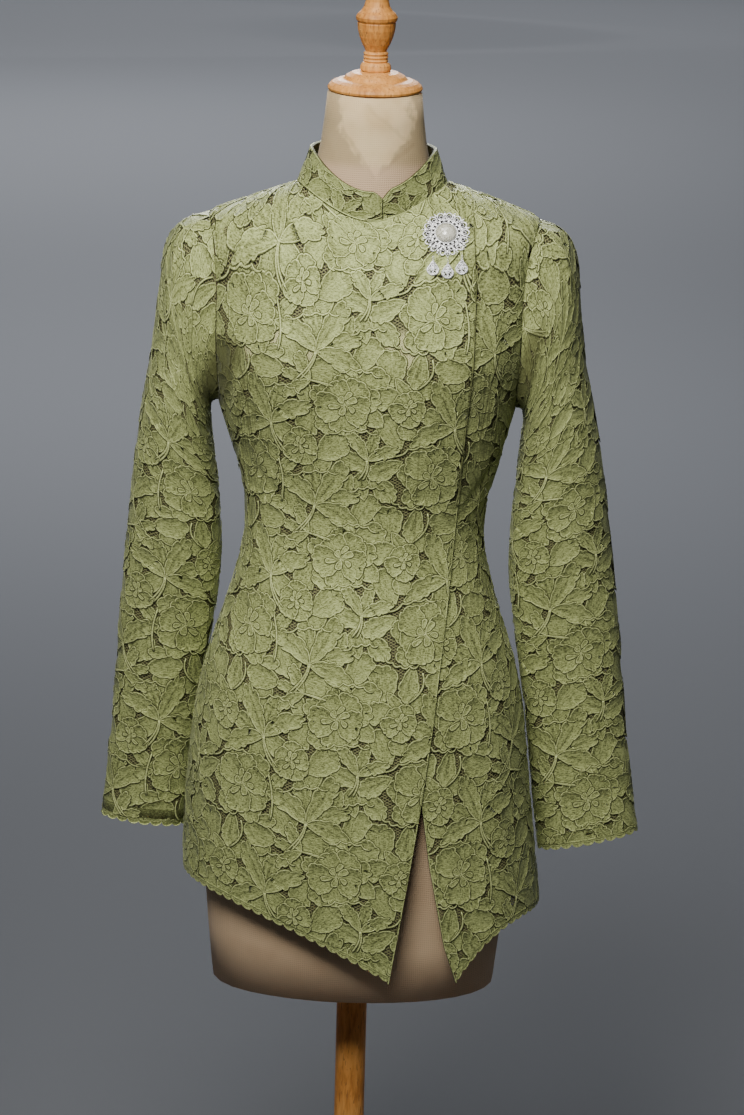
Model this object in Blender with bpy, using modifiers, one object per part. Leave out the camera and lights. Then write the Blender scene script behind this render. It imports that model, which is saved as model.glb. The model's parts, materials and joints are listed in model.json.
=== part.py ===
"""A kebaya blouse of corded lace, worn by a limbless dress form on a turned wooden stand.

Metres, +Z up. The origin is the centre of the stand's foot, on the floor. The front of the blouse faces -Y,
so the wearer's left is +X. The blouse is a set of thin cloth walls: each is a grid of points on one smooth
body surface (or on a sleeve or collar built from its edge), thickened inwards by the wall's thickness.
"""

import math

import bmesh
import bpy
import numpy as np
from mathutils import Matrix, Vector

# ---------------------------------------------------------------- driving dimensions (metres, degrees)
WALL = 0.0015  # thickness of the lace
SEAM_GAP = 0.0003  # clearance between two pieces sewn together
WRAP_LIFT = 0.0034  # how far the wrap-over front lies outside the front under it
LIFT_START = 28.0  # it rises between these two angles short of the edge of the front under it
LIFT_END = 6.0
EDGING_WIDTH = 0.019  # scalloped edging along the hems and cuffs

SIDE_SEAM = 90.0  # side and shoulder seams, measured from the centre front
WAIST_LEVEL = 5.0
UNDERARM_LEVEL = 7.0  # row of BODY at the bottom of the armhole
SHOULDER_LEVEL = 10.4  # and at its top
NECK_LEVEL = 13.0  # row of BODY where the collar is sewn on
NECK_TOP_LEVEL = 16.0
ARMHOLE_FRONT_SPREAD = 21.0  # how far the armhole reaches round to the front
ARMHOLE_BACK_SPREAD = 18.0
ARMHOLE_SQUARENESS = 2.5
ARMHOLE_HALF_WIDTH = 0.050  # roughly, only to scale the seam's gap
ARMHOLE_HALF_HEIGHT = 0.090

BUST_RISE = 0.009
BUST_ANGLE = 38.0
BUST_LEVEL = 8.05
BUST_WIDTH = 20.0
BUST_HEIGHT = 0.85

# The body surface, one row for each level from below the hem to the top of the form's neck. z_side is the
# height at the side or shoulder seam. front_rise and back_rise are added to it at the centre front and back.
# x_centre moves a ring towards the wearer's left: the hem swings that way, and so do the shoulders. form_ease
# is how far the dress form's own surface lies inside the blouse's outer surface.
BODY_COLUMNS = (
    "z_side", "front_rise", "back_rise", "half_width", "front_depth", "back_depth",
    "y_centre", "squareness", "x_centre", "form_ease",
)
BODY = np.array([
    (0.490, 0.000, 0.000, 0.1890, 0.1400, 0.1420, 0.000, 2.20, 0.0130, 0.0400),  # below the hem
    (0.585, 0.000, 0.000, 0.1885, 0.1370, 0.1400, 0.000, 2.20, 0.0070, 0.0300),  # hem at the sides
    (0.690, 0.000, 0.000, 0.1815, 0.1300, 0.1350, 0.000, 2.20, 0.0010, 0.0190),  # low hip
    (0.810, 0.000, 0.000, 0.1675, 0.1200, 0.1250, 0.000, 2.20, 0.0000, 0.0110),  # hip
    (0.900, 0.000, 0.000, 0.1412, 0.1070, 0.1050, 0.000, 2.15, 0.0000, 0.0075),  # high hip
    (0.982, 0.000, 0.000, 0.1235, 0.0945, 0.0830, 0.000, 2.10, 0.0000, 0.0060),  # waist
    (1.050, 0.000, 0.000, 0.1345, 0.1020, 0.0900, 0.000, 2.20, 0.0020, 0.0055),  # under the bust
    (1.110, 0.000, 0.000, 0.1515, 0.1110, 0.0990, 0.000, 2.35, 0.0000, 0.0050),  # underarm
    (1.170, 0.000, 0.002, 0.1655, 0.1140, 0.1030, 0.000, 2.45, 0.0000, 0.0045),  # bust
    (1.232, -0.004, 0.006, 0.1715, 0.1060, 0.1000, -0.001, 2.45, 0.0000, 0.0042),  # upper chest
    (1.290, -0.034, 0.002, 0.1745, 0.0960, 0.0890, -0.003, 2.40, 0.0020, 0.0040),  # shoulder point
    (1.3110, -0.0415, 0.0035, 0.1500, 0.0850, 0.0790, -0.005, 2.30, 0.0050, 0.0040),  # outer shoulder
    (1.3255, -0.0400, 0.0050, 0.1120, 0.0730, 0.0690, -0.008, 2.15, 0.0050, 0.0040),  # inner shoulder
    (1.3370, -0.0330, 0.0060, 0.0755, 0.0620, 0.0630, -0.010, 2.00, 0.0000, 0.0036),  # collar seam
    (1.3530, -0.0250, 0.0070, 0.0600, 0.0570, 0.0570, -0.0135, 2.00, 0.0000, 0.0010),  # base of the neck
    (1.3860, -0.0120, 0.0050, 0.0522, 0.0510, 0.0510, -0.018, 2.00, 0.0000, 0.0000),  # middle of the neck
    (1.4292, -0.0035, 0.0035, 0.0476, 0.0478, 0.0478, -0.020, 2.00, 0.0000, 0.0000),  # top of the neck
])
FORM_EASE = BODY_COLUMNS.index("form_ease")
HALF_WIDTH = BODY_COLUMNS.index("half_width")

# Free edge of the wrap-over right front, and of the left front under it: (height, x).
WRAP_EDGE = [
    (0.500, 0.0335), (0.570, 0.0442), (0.694, 0.0624), (0.790, 0.0743), (0.911, 0.0854),
    (1.030, 0.0938), (1.104, 0.0990), (1.165, 0.1038), (1.243, 0.1050), (1.300, 0.1015), (1.340, 0.0985),
]
UNDER_EDGE = [
    (0.500, 0.1160), (0.528, 0.1070), (0.566, 0.0939), (0.651, 0.0764), (0.716, 0.0667),
    (0.820, 0.0500), (0.950, 0.0330), (1.120, 0.0180), (1.304, 0.0105), (1.340, 0.0105),
]
CENTRE_FRONT_X = 0.0105  # where the two ends of the collar meet

# Hem heights at the side seams, and the drop from there to each front's point.
RIGHT_SIDE_HEM = 0.612
RIGHT_HEM_DROP = 0.083
RIGHT_HEM_POWER = 1.6
LEFT_SIDE_HEM = 0.583
LEFT_HEM_DROP = 0.056
LEFT_HEM_POWER = 2.2

# The sleeve, one row for each section from the armhole to the cuff, as (outer x, outer z, inner x, inner z)
# seen from the front, with half its depth from front to back and the place of its middle in depth.
SLEEVE_COLUMNS = ("outer_x", "outer_z", "inner_x", "inner_z", "half_depth", "y_centre")
SLEEVE = np.array([
    (0.1700, 1.3010, 0.1535, 1.1110, 0.0530, -0.003),  # armhole
    (0.1900, 1.2940, 0.1588, 1.1095, 0.0565, -0.002),  # head of the cap
    (0.2045, 1.2760, 0.1610, 1.1055, 0.0580, 0.000),
    (0.2125, 1.2450, 0.1618, 1.0990, 0.0575, 0.002),
    (0.2170, 1.2050, 0.1614, 1.0890, 0.0560, 0.004),
    (0.2225, 1.1600, 0.1602, 1.0740, 0.0535, 0.006),  # upper arm
    (0.2315, 1.1120, 0.1578, 1.0520, 0.0505, 0.009),
    (0.2405, 1.0600, 0.1545, 1.0200, 0.0475, 0.013),
    (0.2500, 0.9850, 0.1510, 0.9600, 0.0435, 0.020),  # elbow
    (0.2588, 0.9100, 0.1550, 0.8930, 0.0395, 0.028),
    (0.2675, 0.8200, 0.1688, 0.8060, 0.0350, 0.036),  # forearm
    (0.2755, 0.7300, 0.1800, 0.7150, 0.0305, 0.041),
    (0.2872, 0.6480, 0.1900, 0.6320, 0.0270, 0.044),  # cuff
])
OUTER_EDGE = SLEEVE_COLUMNS.index("inner_x")  # the columns before this one place the outer edge
SLEEVE_SQUARENESS = 2.15
OUTER_SWING = 0.0135  # the wearer's left sleeve hangs this much further out at the cuff, the right one less
INNER_SWING = 0.0050
DEPTH_SWING = 0.0060  # and this much further forward
SWING_START = 5.0  # row of SLEEVE where the swing begins
SLEEVE_BLEND_ROWS = 3.0  # over which the sleeve leaves the armhole's own shape
CUFF_SLOPE = 0.007  # and the left cuff slopes by this much more

# The collar's top edge, in the columns of BODY, and the notch at its front.
COLLAR_TOP = dict(
    z_side=1.3730, front_rise=-0.0385, back_rise=0.0080, half_width=0.0630,
    front_depth=0.0635, back_depth=0.0600, y_centre=-0.0135, squareness=2.0,
)
NOTCH_DEPTH = 0.0085
NOTCH_HALF_WIDTH = 0.010
COLLAR_WALL = 0.0016
COLLAR_RADIUS = 0.0625  # of its front curve, near enough to place its ends
COLLAR_CROWDING = 0.11  # how much closer together its columns are at the front
COLLAR_SEAT = 0.0008  # clearance above the panels it is sewn to, whose walls turn outwards there

# Mesh resolution.
LOW_ROWS = 10  # rows of a panel below the underarm
ARMHOLE_ROWS = 10  # rows beside the armhole, so the sleeve has twice as many points round
TOP_LEVELS = (11.1, 11.7, 12.1, 12.38, 12.7)  # rows from there to the collar, closest at the wrap's corner
RIGHT_FRONT_COLUMNS = 21
LEFT_FRONT_COLUMNS = 13
BACK_COLUMNS = 20
COLLAR_COLUMNS = 36
SLEEVE_ROWS = 16
FORM_ANGLES = 36
FORM_ROWS = 28

# The dress form's wooden parts. Heights on the neck block are measured from its underside, along its axis.
FORM_FOOT_LEVEL = 0.06
NECK_TILT = 5.0
NECK_BLOCK_Z = 1.4310
NECK_BLOCK_Y = -0.0203
# Profiles as (radius, height) points down the outer side. The cap is a thin-edged disc with a raised middle.
CAP_PROFILE = [
    (0.0, 0.0192), (0.0160, 0.0190), (0.0235, 0.0176), (0.0295, 0.0145), (0.0318, 0.0118), (0.0328, 0.0112),
    (0.0380, 0.0102), (0.0430, 0.0082), (0.0465, 0.0052), (0.0479, 0.0026), (0.0474, 0.0006), (0.0455, 0.0),
    (0.0, 0.0),
]
# The finial is a waisted foot with three rings, an urn with a lip, and a bell that narrows to a rounded top.
FINIAL_ABOVE_RINGS = [
    (0.0, 0.1055), (0.0052, 0.1043), (0.0095, 0.1010), (0.0114, 0.0972), (0.0114, 0.0935),
    (0.0116, 0.0886), (0.0129, 0.0836), (0.0157, 0.0793), (0.0189, 0.0766), (0.0209, 0.0730),
    (0.0205, 0.0701), (0.0196, 0.0687), (0.0188, 0.0678), (0.0192, 0.0665), (0.0186, 0.0602),
    (0.0169, 0.0532), (0.0141, 0.0460), (0.0118, 0.0419), (0.0105, 0.0390),
]
FINIAL_RINGS = 3
RING_RADIUS = 0.0110
RING_TOP = 0.0366
RING_SPACING = 0.0035
FINIAL_BELOW_RINGS = [(0.0130, 0.0276), (0.0150, 0.0250), (0.0156, 0.0215)]
POLE_RADIUS = 0.016
BASE_RADIUS = 0.200
BASE_HEIGHT = 0.034
TURNED_STEPS = 32

# The brooch, pinned through the wrap-over front. Its places are (across, up) in its own plane.
BROOCH_ANGLE = 43.0
BROOCH_LEVEL = 11.30
BROOCH_SEAT = 0.0005  # clearance behind it
CHEST_Y_CENTRE = -0.0075
BROOCH_RADIUS = 0.0235
BROOCH_PETALS = 12
BROOCH_SCALLOP = 0.0012
BROOCH_THICKNESS = 0.0024
BROOCH_TURN = 4.0
DROP_SPACING = 30.0  # between two neighbouring drops, round the brooch
DROP_NAMES = ("right", "middle", "left")
LUG_REACH = 0.0268  # the plate's small lugs, each above a drop
LUG_WIDTH = 4.0  # in degrees
PIVOT_REACH = 0.0287
PEARL_RADIUS = 0.0105
PEARL_HEIGHT = 0.0060
DROP_LENGTH = 0.0205
DROP_WIDTH = 0.0112
DROP_THICKNESS = 0.0022
DROP_TOP = 0.0013  # the drop's top above its pivot
DROP_TAPER = 1.6  # how quickly it narrows towards the top
DROP_CLEARANCE = 0.0008  # between a hanging drop and the cloth behind it

LACE_COLOUR = (0.36, 0.39, 0.22, 1.0)
FORM_COLOUR = (0.74, 0.66, 0.52, 1.0)
WOOD_COLOUR = (0.62, 0.30, 0.10, 1.0)
SILVER_COLOUR = (0.80, 0.80, 0.82, 1.0)
PEARL_COLOUR = (0.86, 0.82, 0.74, 1.0)


# ---------------------------------------------------------------- curves and surfaces
def bends(table):
    """Second derivatives of the natural cubic spline through each column of a table."""
    count = len(table)
    system = np.eye(count)
    change = np.zeros_like(table)
    for i in range(1, count - 1):
        system[i, i - 1:i + 2] = (1.0, 4.0, 1.0)
        change[i] = 6.0 * (table[i - 1] - 2.0 * table[i] + table[i + 1])
    return np.linalg.solve(system, change)


def along(table, bend, level):
    """The columns of a table at fractional row numbers, as an array with the columns first."""
    level = np.clip(np.asarray(level, float), 0.0, len(table) - 1.0)
    low = np.minimum(level.astype(int), len(table) - 2)
    t = (level - low)[..., None]
    s = 1.0 - t
    value = s * table[low] + t * table[low + 1]
    value += ((s ** 3 - s) * bend[low] + (t ** 3 - t) * bend[low + 1]) / 6.0
    return np.moveaxis(value, -1, 0)


BODY_BENDS = bends(BODY)
SLEEVE_BENDS = bends(SLEEVE)


def ring_point(angle, z_side, front_rise, back_rise, half_width, front_depth, back_depth, y_centre,
               squareness, x_centre=0.0, swell=0.0):
    """Points of a rounded ring at an angle (radians) from the centre front, towards the wearer's left."""
    across, ahead = np.sin(angle), np.cos(angle)
    depth = np.where(ahead > 0.0, front_depth, back_depth)
    rise = np.where(ahead > 0.0, front_rise, back_rise)
    reach = np.abs(across / half_width) ** squareness + np.abs(ahead / depth) ** squareness
    reach = reach ** (-1.0 / squareness) + swell
    x, y, z = x_centre + reach * across, y_centre - reach * ahead, z_side + rise * ahead ** 2
    return np.stack([x, y, z], axis=-1)


def bust_swell(angle, level):
    """How far the bust stands out from the plain ring."""
    lift = np.exp(-(((level - BUST_LEVEL) / BUST_HEIGHT) ** 2)) * BUST_RISE
    apex, width = math.radians(BUST_ANGLE), math.radians(BUST_WIDTH)
    turn = (angle + math.pi) % (2.0 * math.pi) - math.pi
    return lift * sum(np.exp(-(((turn - side * apex) / width) ** 2)) for side in (-1.0, 1.0))


def body_point(angle, level):
    """Points of the body surface at an angle (radians) and a level (a fractional row of BODY)."""
    angle, level = np.broadcast_arrays(np.asarray(angle, float), np.asarray(level, float))
    row = along(BODY, BODY_BENDS, level)
    return ring_point(angle, *row[:FORM_EASE], swell=bust_swell(angle, level))


def body_normal(angle, level):
    """Outward unit normals of the body surface."""
    step = 1e-4
    round_it = body_point(angle + step, level) - body_point(angle - step, level)
    up_it = body_point(angle, np.add(level, step)) - body_point(angle, np.subtract(level, step))
    normal = np.cross(round_it, up_it)
    return normal / np.linalg.norm(normal, axis=-1, keepdims=True)


def level_at_height(z):
    """The level whose side seam is at a height."""
    levels = np.linspace(0.0, NECK_LEVEL, 1301)
    return np.interp(z, along(BODY, BODY_BENDS, levels)[0], levels)


def edge_angle(level, edge):
    """The angle at which a front's free edge crosses each level, at most the shoulder seam's."""
    heights, places = zip(*edge)
    level = np.asarray(level, float)
    low, high = np.zeros_like(level), np.full_like(level, math.radians(SIDE_SEAM))
    for _ in range(30):
        middle = (low + high) / 2.0
        point = body_point(middle, level)
        inside = point[..., 0] < np.interp(point[..., 2], heights, places)
        low, high = np.where(inside, middle, low), np.where(inside, high, middle)
    return high


def wall_normals(grid, closed):
    """Outward unit normals of a grid of points whose rows run up and columns run anticlockwise."""
    if closed:
        round_it = np.roll(grid, -1, axis=1) - np.roll(grid, 1, axis=1)
    else:
        round_it = np.gradient(grid, axis=1)
    normal = np.cross(round_it, np.gradient(grid, axis=0))
    return normal / np.linalg.norm(normal, axis=-1, keepdims=True)


def signed_power(value, power):
    return np.sign(value) * np.abs(value) ** power


def armhole(turn, spread, inset=0.0):
    """(angle, level) round an armhole. turn (radians) is 0 at its edge and 90 degrees at its top."""
    power = 2.0 / ARMHOLE_SQUARENESS
    middle, half = (SHOULDER_LEVEL + UNDERARM_LEVEL) / 2.0, (SHOULDER_LEVEL - UNDERARM_LEVEL) / 2.0
    out = signed_power(np.cos(turn), power) * math.radians(spread) * (1.0 - inset / ARMHOLE_HALF_WIDTH)
    level = middle + half * signed_power(np.sin(turn), power) * (1.0 - inset / ARMHOLE_HALF_HEIGHT)
    return math.radians(SIDE_SEAM) - out, level


# ---------------------------------------------------------------- panels of the blouse
def side_edge(spread):
    """(angle, level) of a panel's edge at the armhole, from the underarm to the shoulder point."""
    turns = np.radians(np.linspace(-90.0, 90.0, ARMHOLE_ROWS + 1))
    return armhole(turns, spread)


def front_hem(point, sign, edge, side_height, drop, power):
    """The hem's height below a point: it drops from the side seam to the front's point at its free edge."""
    side_x, edge_x = sign * BODY[1, HALF_WIDTH], np.interp(side_height - drop, *zip(*edge))
    part = np.clip((point[..., 0] - side_x) / (edge_x - side_x), 0.0, 1.0)
    return side_height - drop * part ** power


def right_hem(point):
    return front_hem(point, -1.0, WRAP_EDGE, RIGHT_SIDE_HEM, RIGHT_HEM_DROP, RIGHT_HEM_POWER)


def left_hem(point):
    return front_hem(point, 1.0, UNDER_EDGE, LEFT_SIDE_HEM, LEFT_HEM_DROP, LEFT_HEM_POWER)


def back_hem(point):
    part = (point[..., 0] / BODY[1, HALF_WIDTH] + 1.0) / 2.0
    return RIGHT_SIDE_HEM + (LEFT_SIDE_HEM - RIGHT_SIDE_HEM) * part


def panel_sides(columns, first_edge, last_edge, hem, lift):
    """Outer and inner points of a front or the back: rows from the hem up, columns between its two edges.

    first_edge and last_edge give the angle (radians) of an edge at a level and a row beside the armhole, or
    None. hem gives the height of the hem below a point. The first two rows bound the hem's edging.
    """
    share = np.linspace(0.0, 1.0, columns)
    bottom = np.full(columns, 1.0)
    for _ in range(6):
        angle = first_edge(bottom, None) * (1.0 - share) + last_edge(bottom, None) * share
        bottom = level_at_height(hem(body_point(angle, bottom)))
    height = along(BODY, BODY_BENDS, bottom)[0]
    seam = level_at_height(height + EDGING_WIDTH)
    above = level_at_height(height + EDGING_WIDTH + SEAM_GAP)
    beside = side_edge(0.0)[1]
    rows = [(bottom, None), (seam, None)]
    for step in np.linspace(0.0, 1.0, LOW_ROWS, endpoint=False):
        rows.append((above * (1.0 - step) + UNDERARM_LEVEL * step, None))
    rows += [(np.full(columns, level), i) for i, level in enumerate(beside)]
    for level in TOP_LEVELS + (NECK_LEVEL,):
        rows.append((np.full(columns, level), None))
    outer, inner = [], []
    for level, armhole_row in rows:
        angle = first_edge(level, armhole_row) * (1.0 - share) + last_edge(level, armhole_row) * share
        point, normal, out = body_point(angle, level), body_normal(angle, level), lift(angle, level)
        outer.append(point + normal * out[..., None])
        inner.append(point + normal * (out[..., None] - WALL))
    return np.array([outer, inner])


def seam_line(sign, spread, set_back):
    """A side seam, armhole edge and shoulder seam as an edge function: sign is the side it is on."""
    beside = side_edge(spread)[0]

    def edge(level, armhole_row):
        plain = math.radians(SIDE_SEAM) if armhole_row is None else beside[armhole_row]
        half_gap = SEAM_GAP / 2.0 / along(BODY, BODY_BENDS, level)[HALF_WIDTH]
        return sign * (plain - set_back * half_gap) + np.zeros_like(level)

    return edge


def no_lift(angle, level):
    return np.zeros_like(angle)


def wrap_lift(angle, level):
    """The wrap-over front rises to lie over the edge of the front under it."""
    under = edge_angle(level, UNDER_EDGE)
    part = np.clip((angle - under + math.radians(LIFT_START)) / math.radians(LIFT_START - LIFT_END), 0.0, 1.0)
    return WRAP_LIFT * part * part * (3.0 - 2.0 * part)


def wrap_edge(level, armhole_row):
    return edge_angle(level, WRAP_EDGE)


def under_edge(level, armhole_row):
    return edge_angle(level, UNDER_EDGE)


def right_front_sides():
    return panel_sides(RIGHT_FRONT_COLUMNS, seam_line(-1.0, ARMHOLE_FRONT_SPREAD, 1.0), wrap_edge,
                      right_hem, wrap_lift)


def left_front_sides():
    return panel_sides(LEFT_FRONT_COLUMNS, under_edge, seam_line(1.0, ARMHOLE_FRONT_SPREAD, 1.0),
                      left_hem, no_lift)


def back_sides():
    near = seam_line(1.0, -ARMHOLE_BACK_SPREAD, -1.0)
    far = seam_line(-1.0, -ARMHOLE_BACK_SPREAD, -1.0)

    def far_edge(level, armhole_row):
        return far(level, armhole_row) + 2.0 * math.pi

    return panel_sides(BACK_COLUMNS, near, far_edge, back_hem, no_lift)


# ---------------------------------------------------------------- sleeves and collar
def plain_sleeve_ring(turns, row, side):
    """One ring of a sleeve as on the wearer's left. side is +1 for that sleeve and -1 for the other."""
    outer_x, outer_z, inner_x, inner_z, half_depth, y_centre = along(SLEEVE, SLEEVE_BENDS, row)
    swing = max(0.0, (row - SWING_START) / (len(SLEEVE) - 1.0 - SWING_START)) ** 1.2
    outer_x += side * OUTER_SWING * swing
    inner_x += side * INNER_SWING * swing
    inner_z -= side * CUFF_SLOPE * swing
    y_centre -= side * DEPTH_SWING * swing
    up = signed_power(np.sin(turns), 2.0 / SLEEVE_SQUARENESS)
    out = signed_power(np.cos(turns), 2.0 / SLEEVE_SQUARENESS)
    x = (outer_x + inner_x) / 2.0 + (outer_x - inner_x) / 2.0 * up
    z = (outer_z + inner_z) / 2.0 + (outer_z - inner_z) / 2.0 * up
    return np.stack([x, y_centre - half_depth * out, z], axis=-1)


def armhole_loop(turns):
    """Angles and levels of a sleeve's first ring, a seam's gap inside the panels' edges."""
    front, front_level = armhole(turns, ARMHOLE_FRONT_SPREAD, 2.0 * SEAM_GAP)
    back, back_level = armhole(turns, -ARMHOLE_BACK_SPREAD, 2.0 * SEAM_GAP)
    back = math.pi - back
    forward = np.cos(turns) >= 0.0
    return np.where(forward, front, back), np.where(forward, front_level, back_level)


def sleeve_sides(first, last, count, side):
    """Outer and inner points of a sleeve between two fractional rows of SLEEVE, rows upwards."""
    turns = np.radians(np.linspace(-90.0, 270.0, 2 * ARMHOLE_ROWS, endpoint=False))
    angles, levels = armhole_loop(turns)
    mirror = (side, 1.0, 1.0)
    change = body_point(side * angles, levels) * mirror - plain_sleeve_ring(turns, 0.0, side)
    rows = np.linspace(last, first, count)
    fades = np.clip(1.0 - rows / SLEEVE_BLEND_ROWS, 0.0, 1.0) ** 2
    outer = np.array([plain_sleeve_ring(turns, row, side) + change * fade for row, fade in zip(rows, fades)])
    normals = wall_normals(outer, True)
    if first == 0.0:
        # The wall's end at the armhole is parallel to the panels' ends there.
        normals[-1] = body_normal(side * angles, levels) * mirror
    outer, inner = outer, outer - normals * WALL
    sides = np.array([outer, inner])
    if side < 0.0:
        # A mirrored ring runs the other way round, so its points are turned over.
        sides = sides[:, :, ::-1] * (-1.0, 1.0, 1.0)
    return sides


def cuff_seam():
    """The row of SLEEVE where the cuff's edging is sewn on."""
    last = len(SLEEVE) - 1.0
    length = math.dist(SLEEVE[-1, :OUTER_EDGE], SLEEVE[-2, :OUTER_EDGE])
    return last - EDGING_WIDTH / length, SEAM_GAP / length


def collar_sides():
    """Outer and inner points of the collar, from one end at the front, round the back, to the other."""
    seam_ring = along(BODY, BODY_BENDS, NECK_LEVEL)[:FORM_EASE]
    share = np.linspace(0.0, 1.0, COLLAR_COLUMNS)
    share = share - COLLAR_CROWDING * np.sin(2.0 * math.pi * share)
    middle = math.asin(CENTRE_FRONT_X / COLLAR_RADIUS)
    half_gap = SEAM_GAP / 2.0 / COLLAR_RADIUS
    angle = middle + half_gap + share * (2.0 * math.pi - 2.0 * half_gap)
    low = ring_point(angle, *seam_ring)
    top = ring_point(angle, **COLLAR_TOP)
    from_end = np.minimum(share, 1.0 - share) * 2.0 * math.pi * COLLAR_RADIUS
    top[:, 2] -= NOTCH_DEPTH * np.clip(1.0 - from_end / NOTCH_HALF_WIDTH, 0.0, 1.0) ** 1.5
    stand = np.linalg.norm(top - low, axis=1, keepdims=True)
    low = low + (top - low) * COLLAR_SEAT / stand
    outer = np.array([low * (1.0 - t) + top * t for t in (0.0, 0.5, 1.0)])
    return np.array([outer, outer - wall_normals(outer, False) * COLLAR_WALL])


# ---------------------------------------------------------------- meshes
def material(name, colour, roughness, metallic=0.0):
    made = bpy.data.materials.new(name)
    made.use_nodes = True
    shader = made.node_tree.nodes["Principled BSDF"]
    shader.inputs["Base Color"].default_value = colour
    shader.inputs["Roughness"].default_value = roughness
    shader.inputs["Metallic"].default_value = metallic
    return made


def add_object(name, mesh, collection, look):
    made = bpy.data.objects.new(name, mesh)
    mesh.materials.append(look)
    collection.objects.link(made)
    return made


def add_strips(mesh, first, second, closed):
    """Faces between two rows of vertices; they face outwards if the second row is above the first."""
    count = len(first)
    for j in range(count if closed else count - 1):
        k = (j + 1) % count
        mesh.faces.new((first[j], first[k], second[k], second[j]))


def cloth(name, sides, collection, look, closed=False):
    """A cloth wall between its outer and inner points. Two walls meet at a seam with parallel ends."""
    mesh = bmesh.new()
    outer, inner = [[[mesh.verts.new(point) for point in row] for row in side] for side in sides]
    for low, high in zip(outer, outer[1:]):
        add_strips(mesh, low, high, closed)
    for low, high in zip(inner, inner[1:]):
        add_strips(mesh, high, low, closed)
    add_strips(mesh, inner[0], outer[0], closed)
    add_strips(mesh, outer[-1], inner[-1], closed)
    if not closed:
        for column, turn_over in ((0, False), (-1, True)):
            rims = [row[column] for row in outer], [row[column] for row in inner]
            add_strips(mesh, *(reversed(rims) if turn_over else rims), False)
    made = bpy.data.meshes.new(name)
    mesh.to_mesh(made)
    mesh.free()
    made.set_sharp_from_angle(angle=math.radians(50.0))
    return add_object(name, made, collection, look)


def lofted(name, rings, collection, look):
    """A solid through closed rings, from the bottom up, with a fan of faces at each end."""
    mesh = bmesh.new()
    verts = [[mesh.verts.new(point) for point in ring] for ring in rings]
    for low, high in zip(verts, verts[1:]):
        add_strips(mesh, low, high, True)
    for ring, order in ((verts[0], -1), (verts[-1], 1)):
        centre = mesh.verts.new(sum((v.co for v in ring), Vector()) / len(ring))
        for pair in zip(ring, ring[1:] + ring[:1]):
            mesh.faces.new((centre, *pair[::order]))
    made = bpy.data.meshes.new(name)
    mesh.to_mesh(made)
    mesh.free()
    made.shade_smooth()
    return add_object(name, made, collection, look)


def turned(name, profile, collection, look, steps=TURNED_STEPS):
    """A turned solid from (radius, height) points that run down its outer side, on the axis at both ends."""
    mesh = bpy.data.meshes.new(name)
    points = [(radius, 0.0, height) for radius, height in profile]
    mesh.from_pydata(points, [(i, i + 1) for i in range(len(points) - 1)], [])
    made = add_object(name, mesh, collection, look)
    screw = made.modifiers.new("turn", "SCREW")
    screw.steps = steps
    screw.render_steps = steps
    screw.use_merge_vertices = True
    screw.merge_threshold = 0.00005
    screw.use_smooth_shade = True
    return made


def arc(centre, radius, start, end, count):
    """(radius, height) points of an arc, angles in degrees from the horizontal."""
    turns = np.radians(np.linspace(start, end, count))
    return [(centre[0] + radius * math.cos(t), centre[1] + radius * math.sin(t)) for t in turns]


# ---------------------------------------------------------------- sub-parts
def build_blouse(collection, lace):
    panels = {"right_front": right_front_sides(), "left_front": left_front_sides(), "back": back_sides()}
    for name, sides in panels.items():
        cloth(name, sides[:, 2:], collection, lace)
        cloth(name + "_hem_edging", sides[:, :2], collection, lace)
    seam, gap = cuff_seam()
    for name, side in (("right", -1.0), ("left", 1.0)):
        cuff = len(SLEEVE) - 1.0
        cloth(name + "_sleeve", sleeve_sides(0.0, seam - gap, SLEEVE_ROWS, side), collection, lace, True)
        cloth(name + "_cuff_edging", sleeve_sides(seam, cuff, 2, side), collection, lace, True)
    cloth("collar", collar_sides(), collection, lace)


def build_form(collection, cover):
    """The limbless torso and neck, just inside the blouse. Returns the height of its flat underside."""
    angles = np.linspace(0.0, 2.0 * math.pi, FORM_ANGLES, endpoint=False)
    rings = []
    for level in np.linspace(FORM_FOOT_LEVEL, NECK_TOP_LEVEL, FORM_ROWS):
        x_centre, ease = along(BODY, BODY_BENDS, level)[-2:]
        hem_swing = x_centre if level < WAIST_LEVEL else 0.0
        rings.append(body_point(angles, level) - body_normal(angles, level) * ease - (hem_swing, 0.0, 0.0))
    foot = rings[0][:, 2].min()
    rings[0][:, 2] = foot
    rings[-1] = body_point(angles, NECK_TOP_LEVEL)
    lofted("form_torso", rings, collection, cover)
    return float(foot)


def build_neck_block(collection, wood):
    """The turned cap on the neck and its finial, on one axis that leans forward with the neck."""
    axis = bpy.data.objects.new("neck_axis", None)
    axis.location = (0.0, NECK_BLOCK_Y, NECK_BLOCK_Z)
    axis.rotation_euler = (math.radians(NECK_TILT), 0.0, 0.0)
    collection.objects.link(axis)
    foot = CAP_PROFILE[0][1] + SEAM_GAP
    finial = list(FINIAL_ABOVE_RINGS)
    for ring in range(FINIAL_RINGS):
        height = RING_TOP - RING_SPACING * ring
        finial += arc((RING_RADIUS, height), RING_SPACING * 0.46, 60.0, -60.0, 3)
    finial += FINIAL_BELOW_RINGS + [(0.0152, foot), (0.0, foot)]
    for name, profile in (("neck_cap", CAP_PROFILE), ("finial", finial)):
        turned(name, profile, collection, wood).parent = axis


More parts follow.
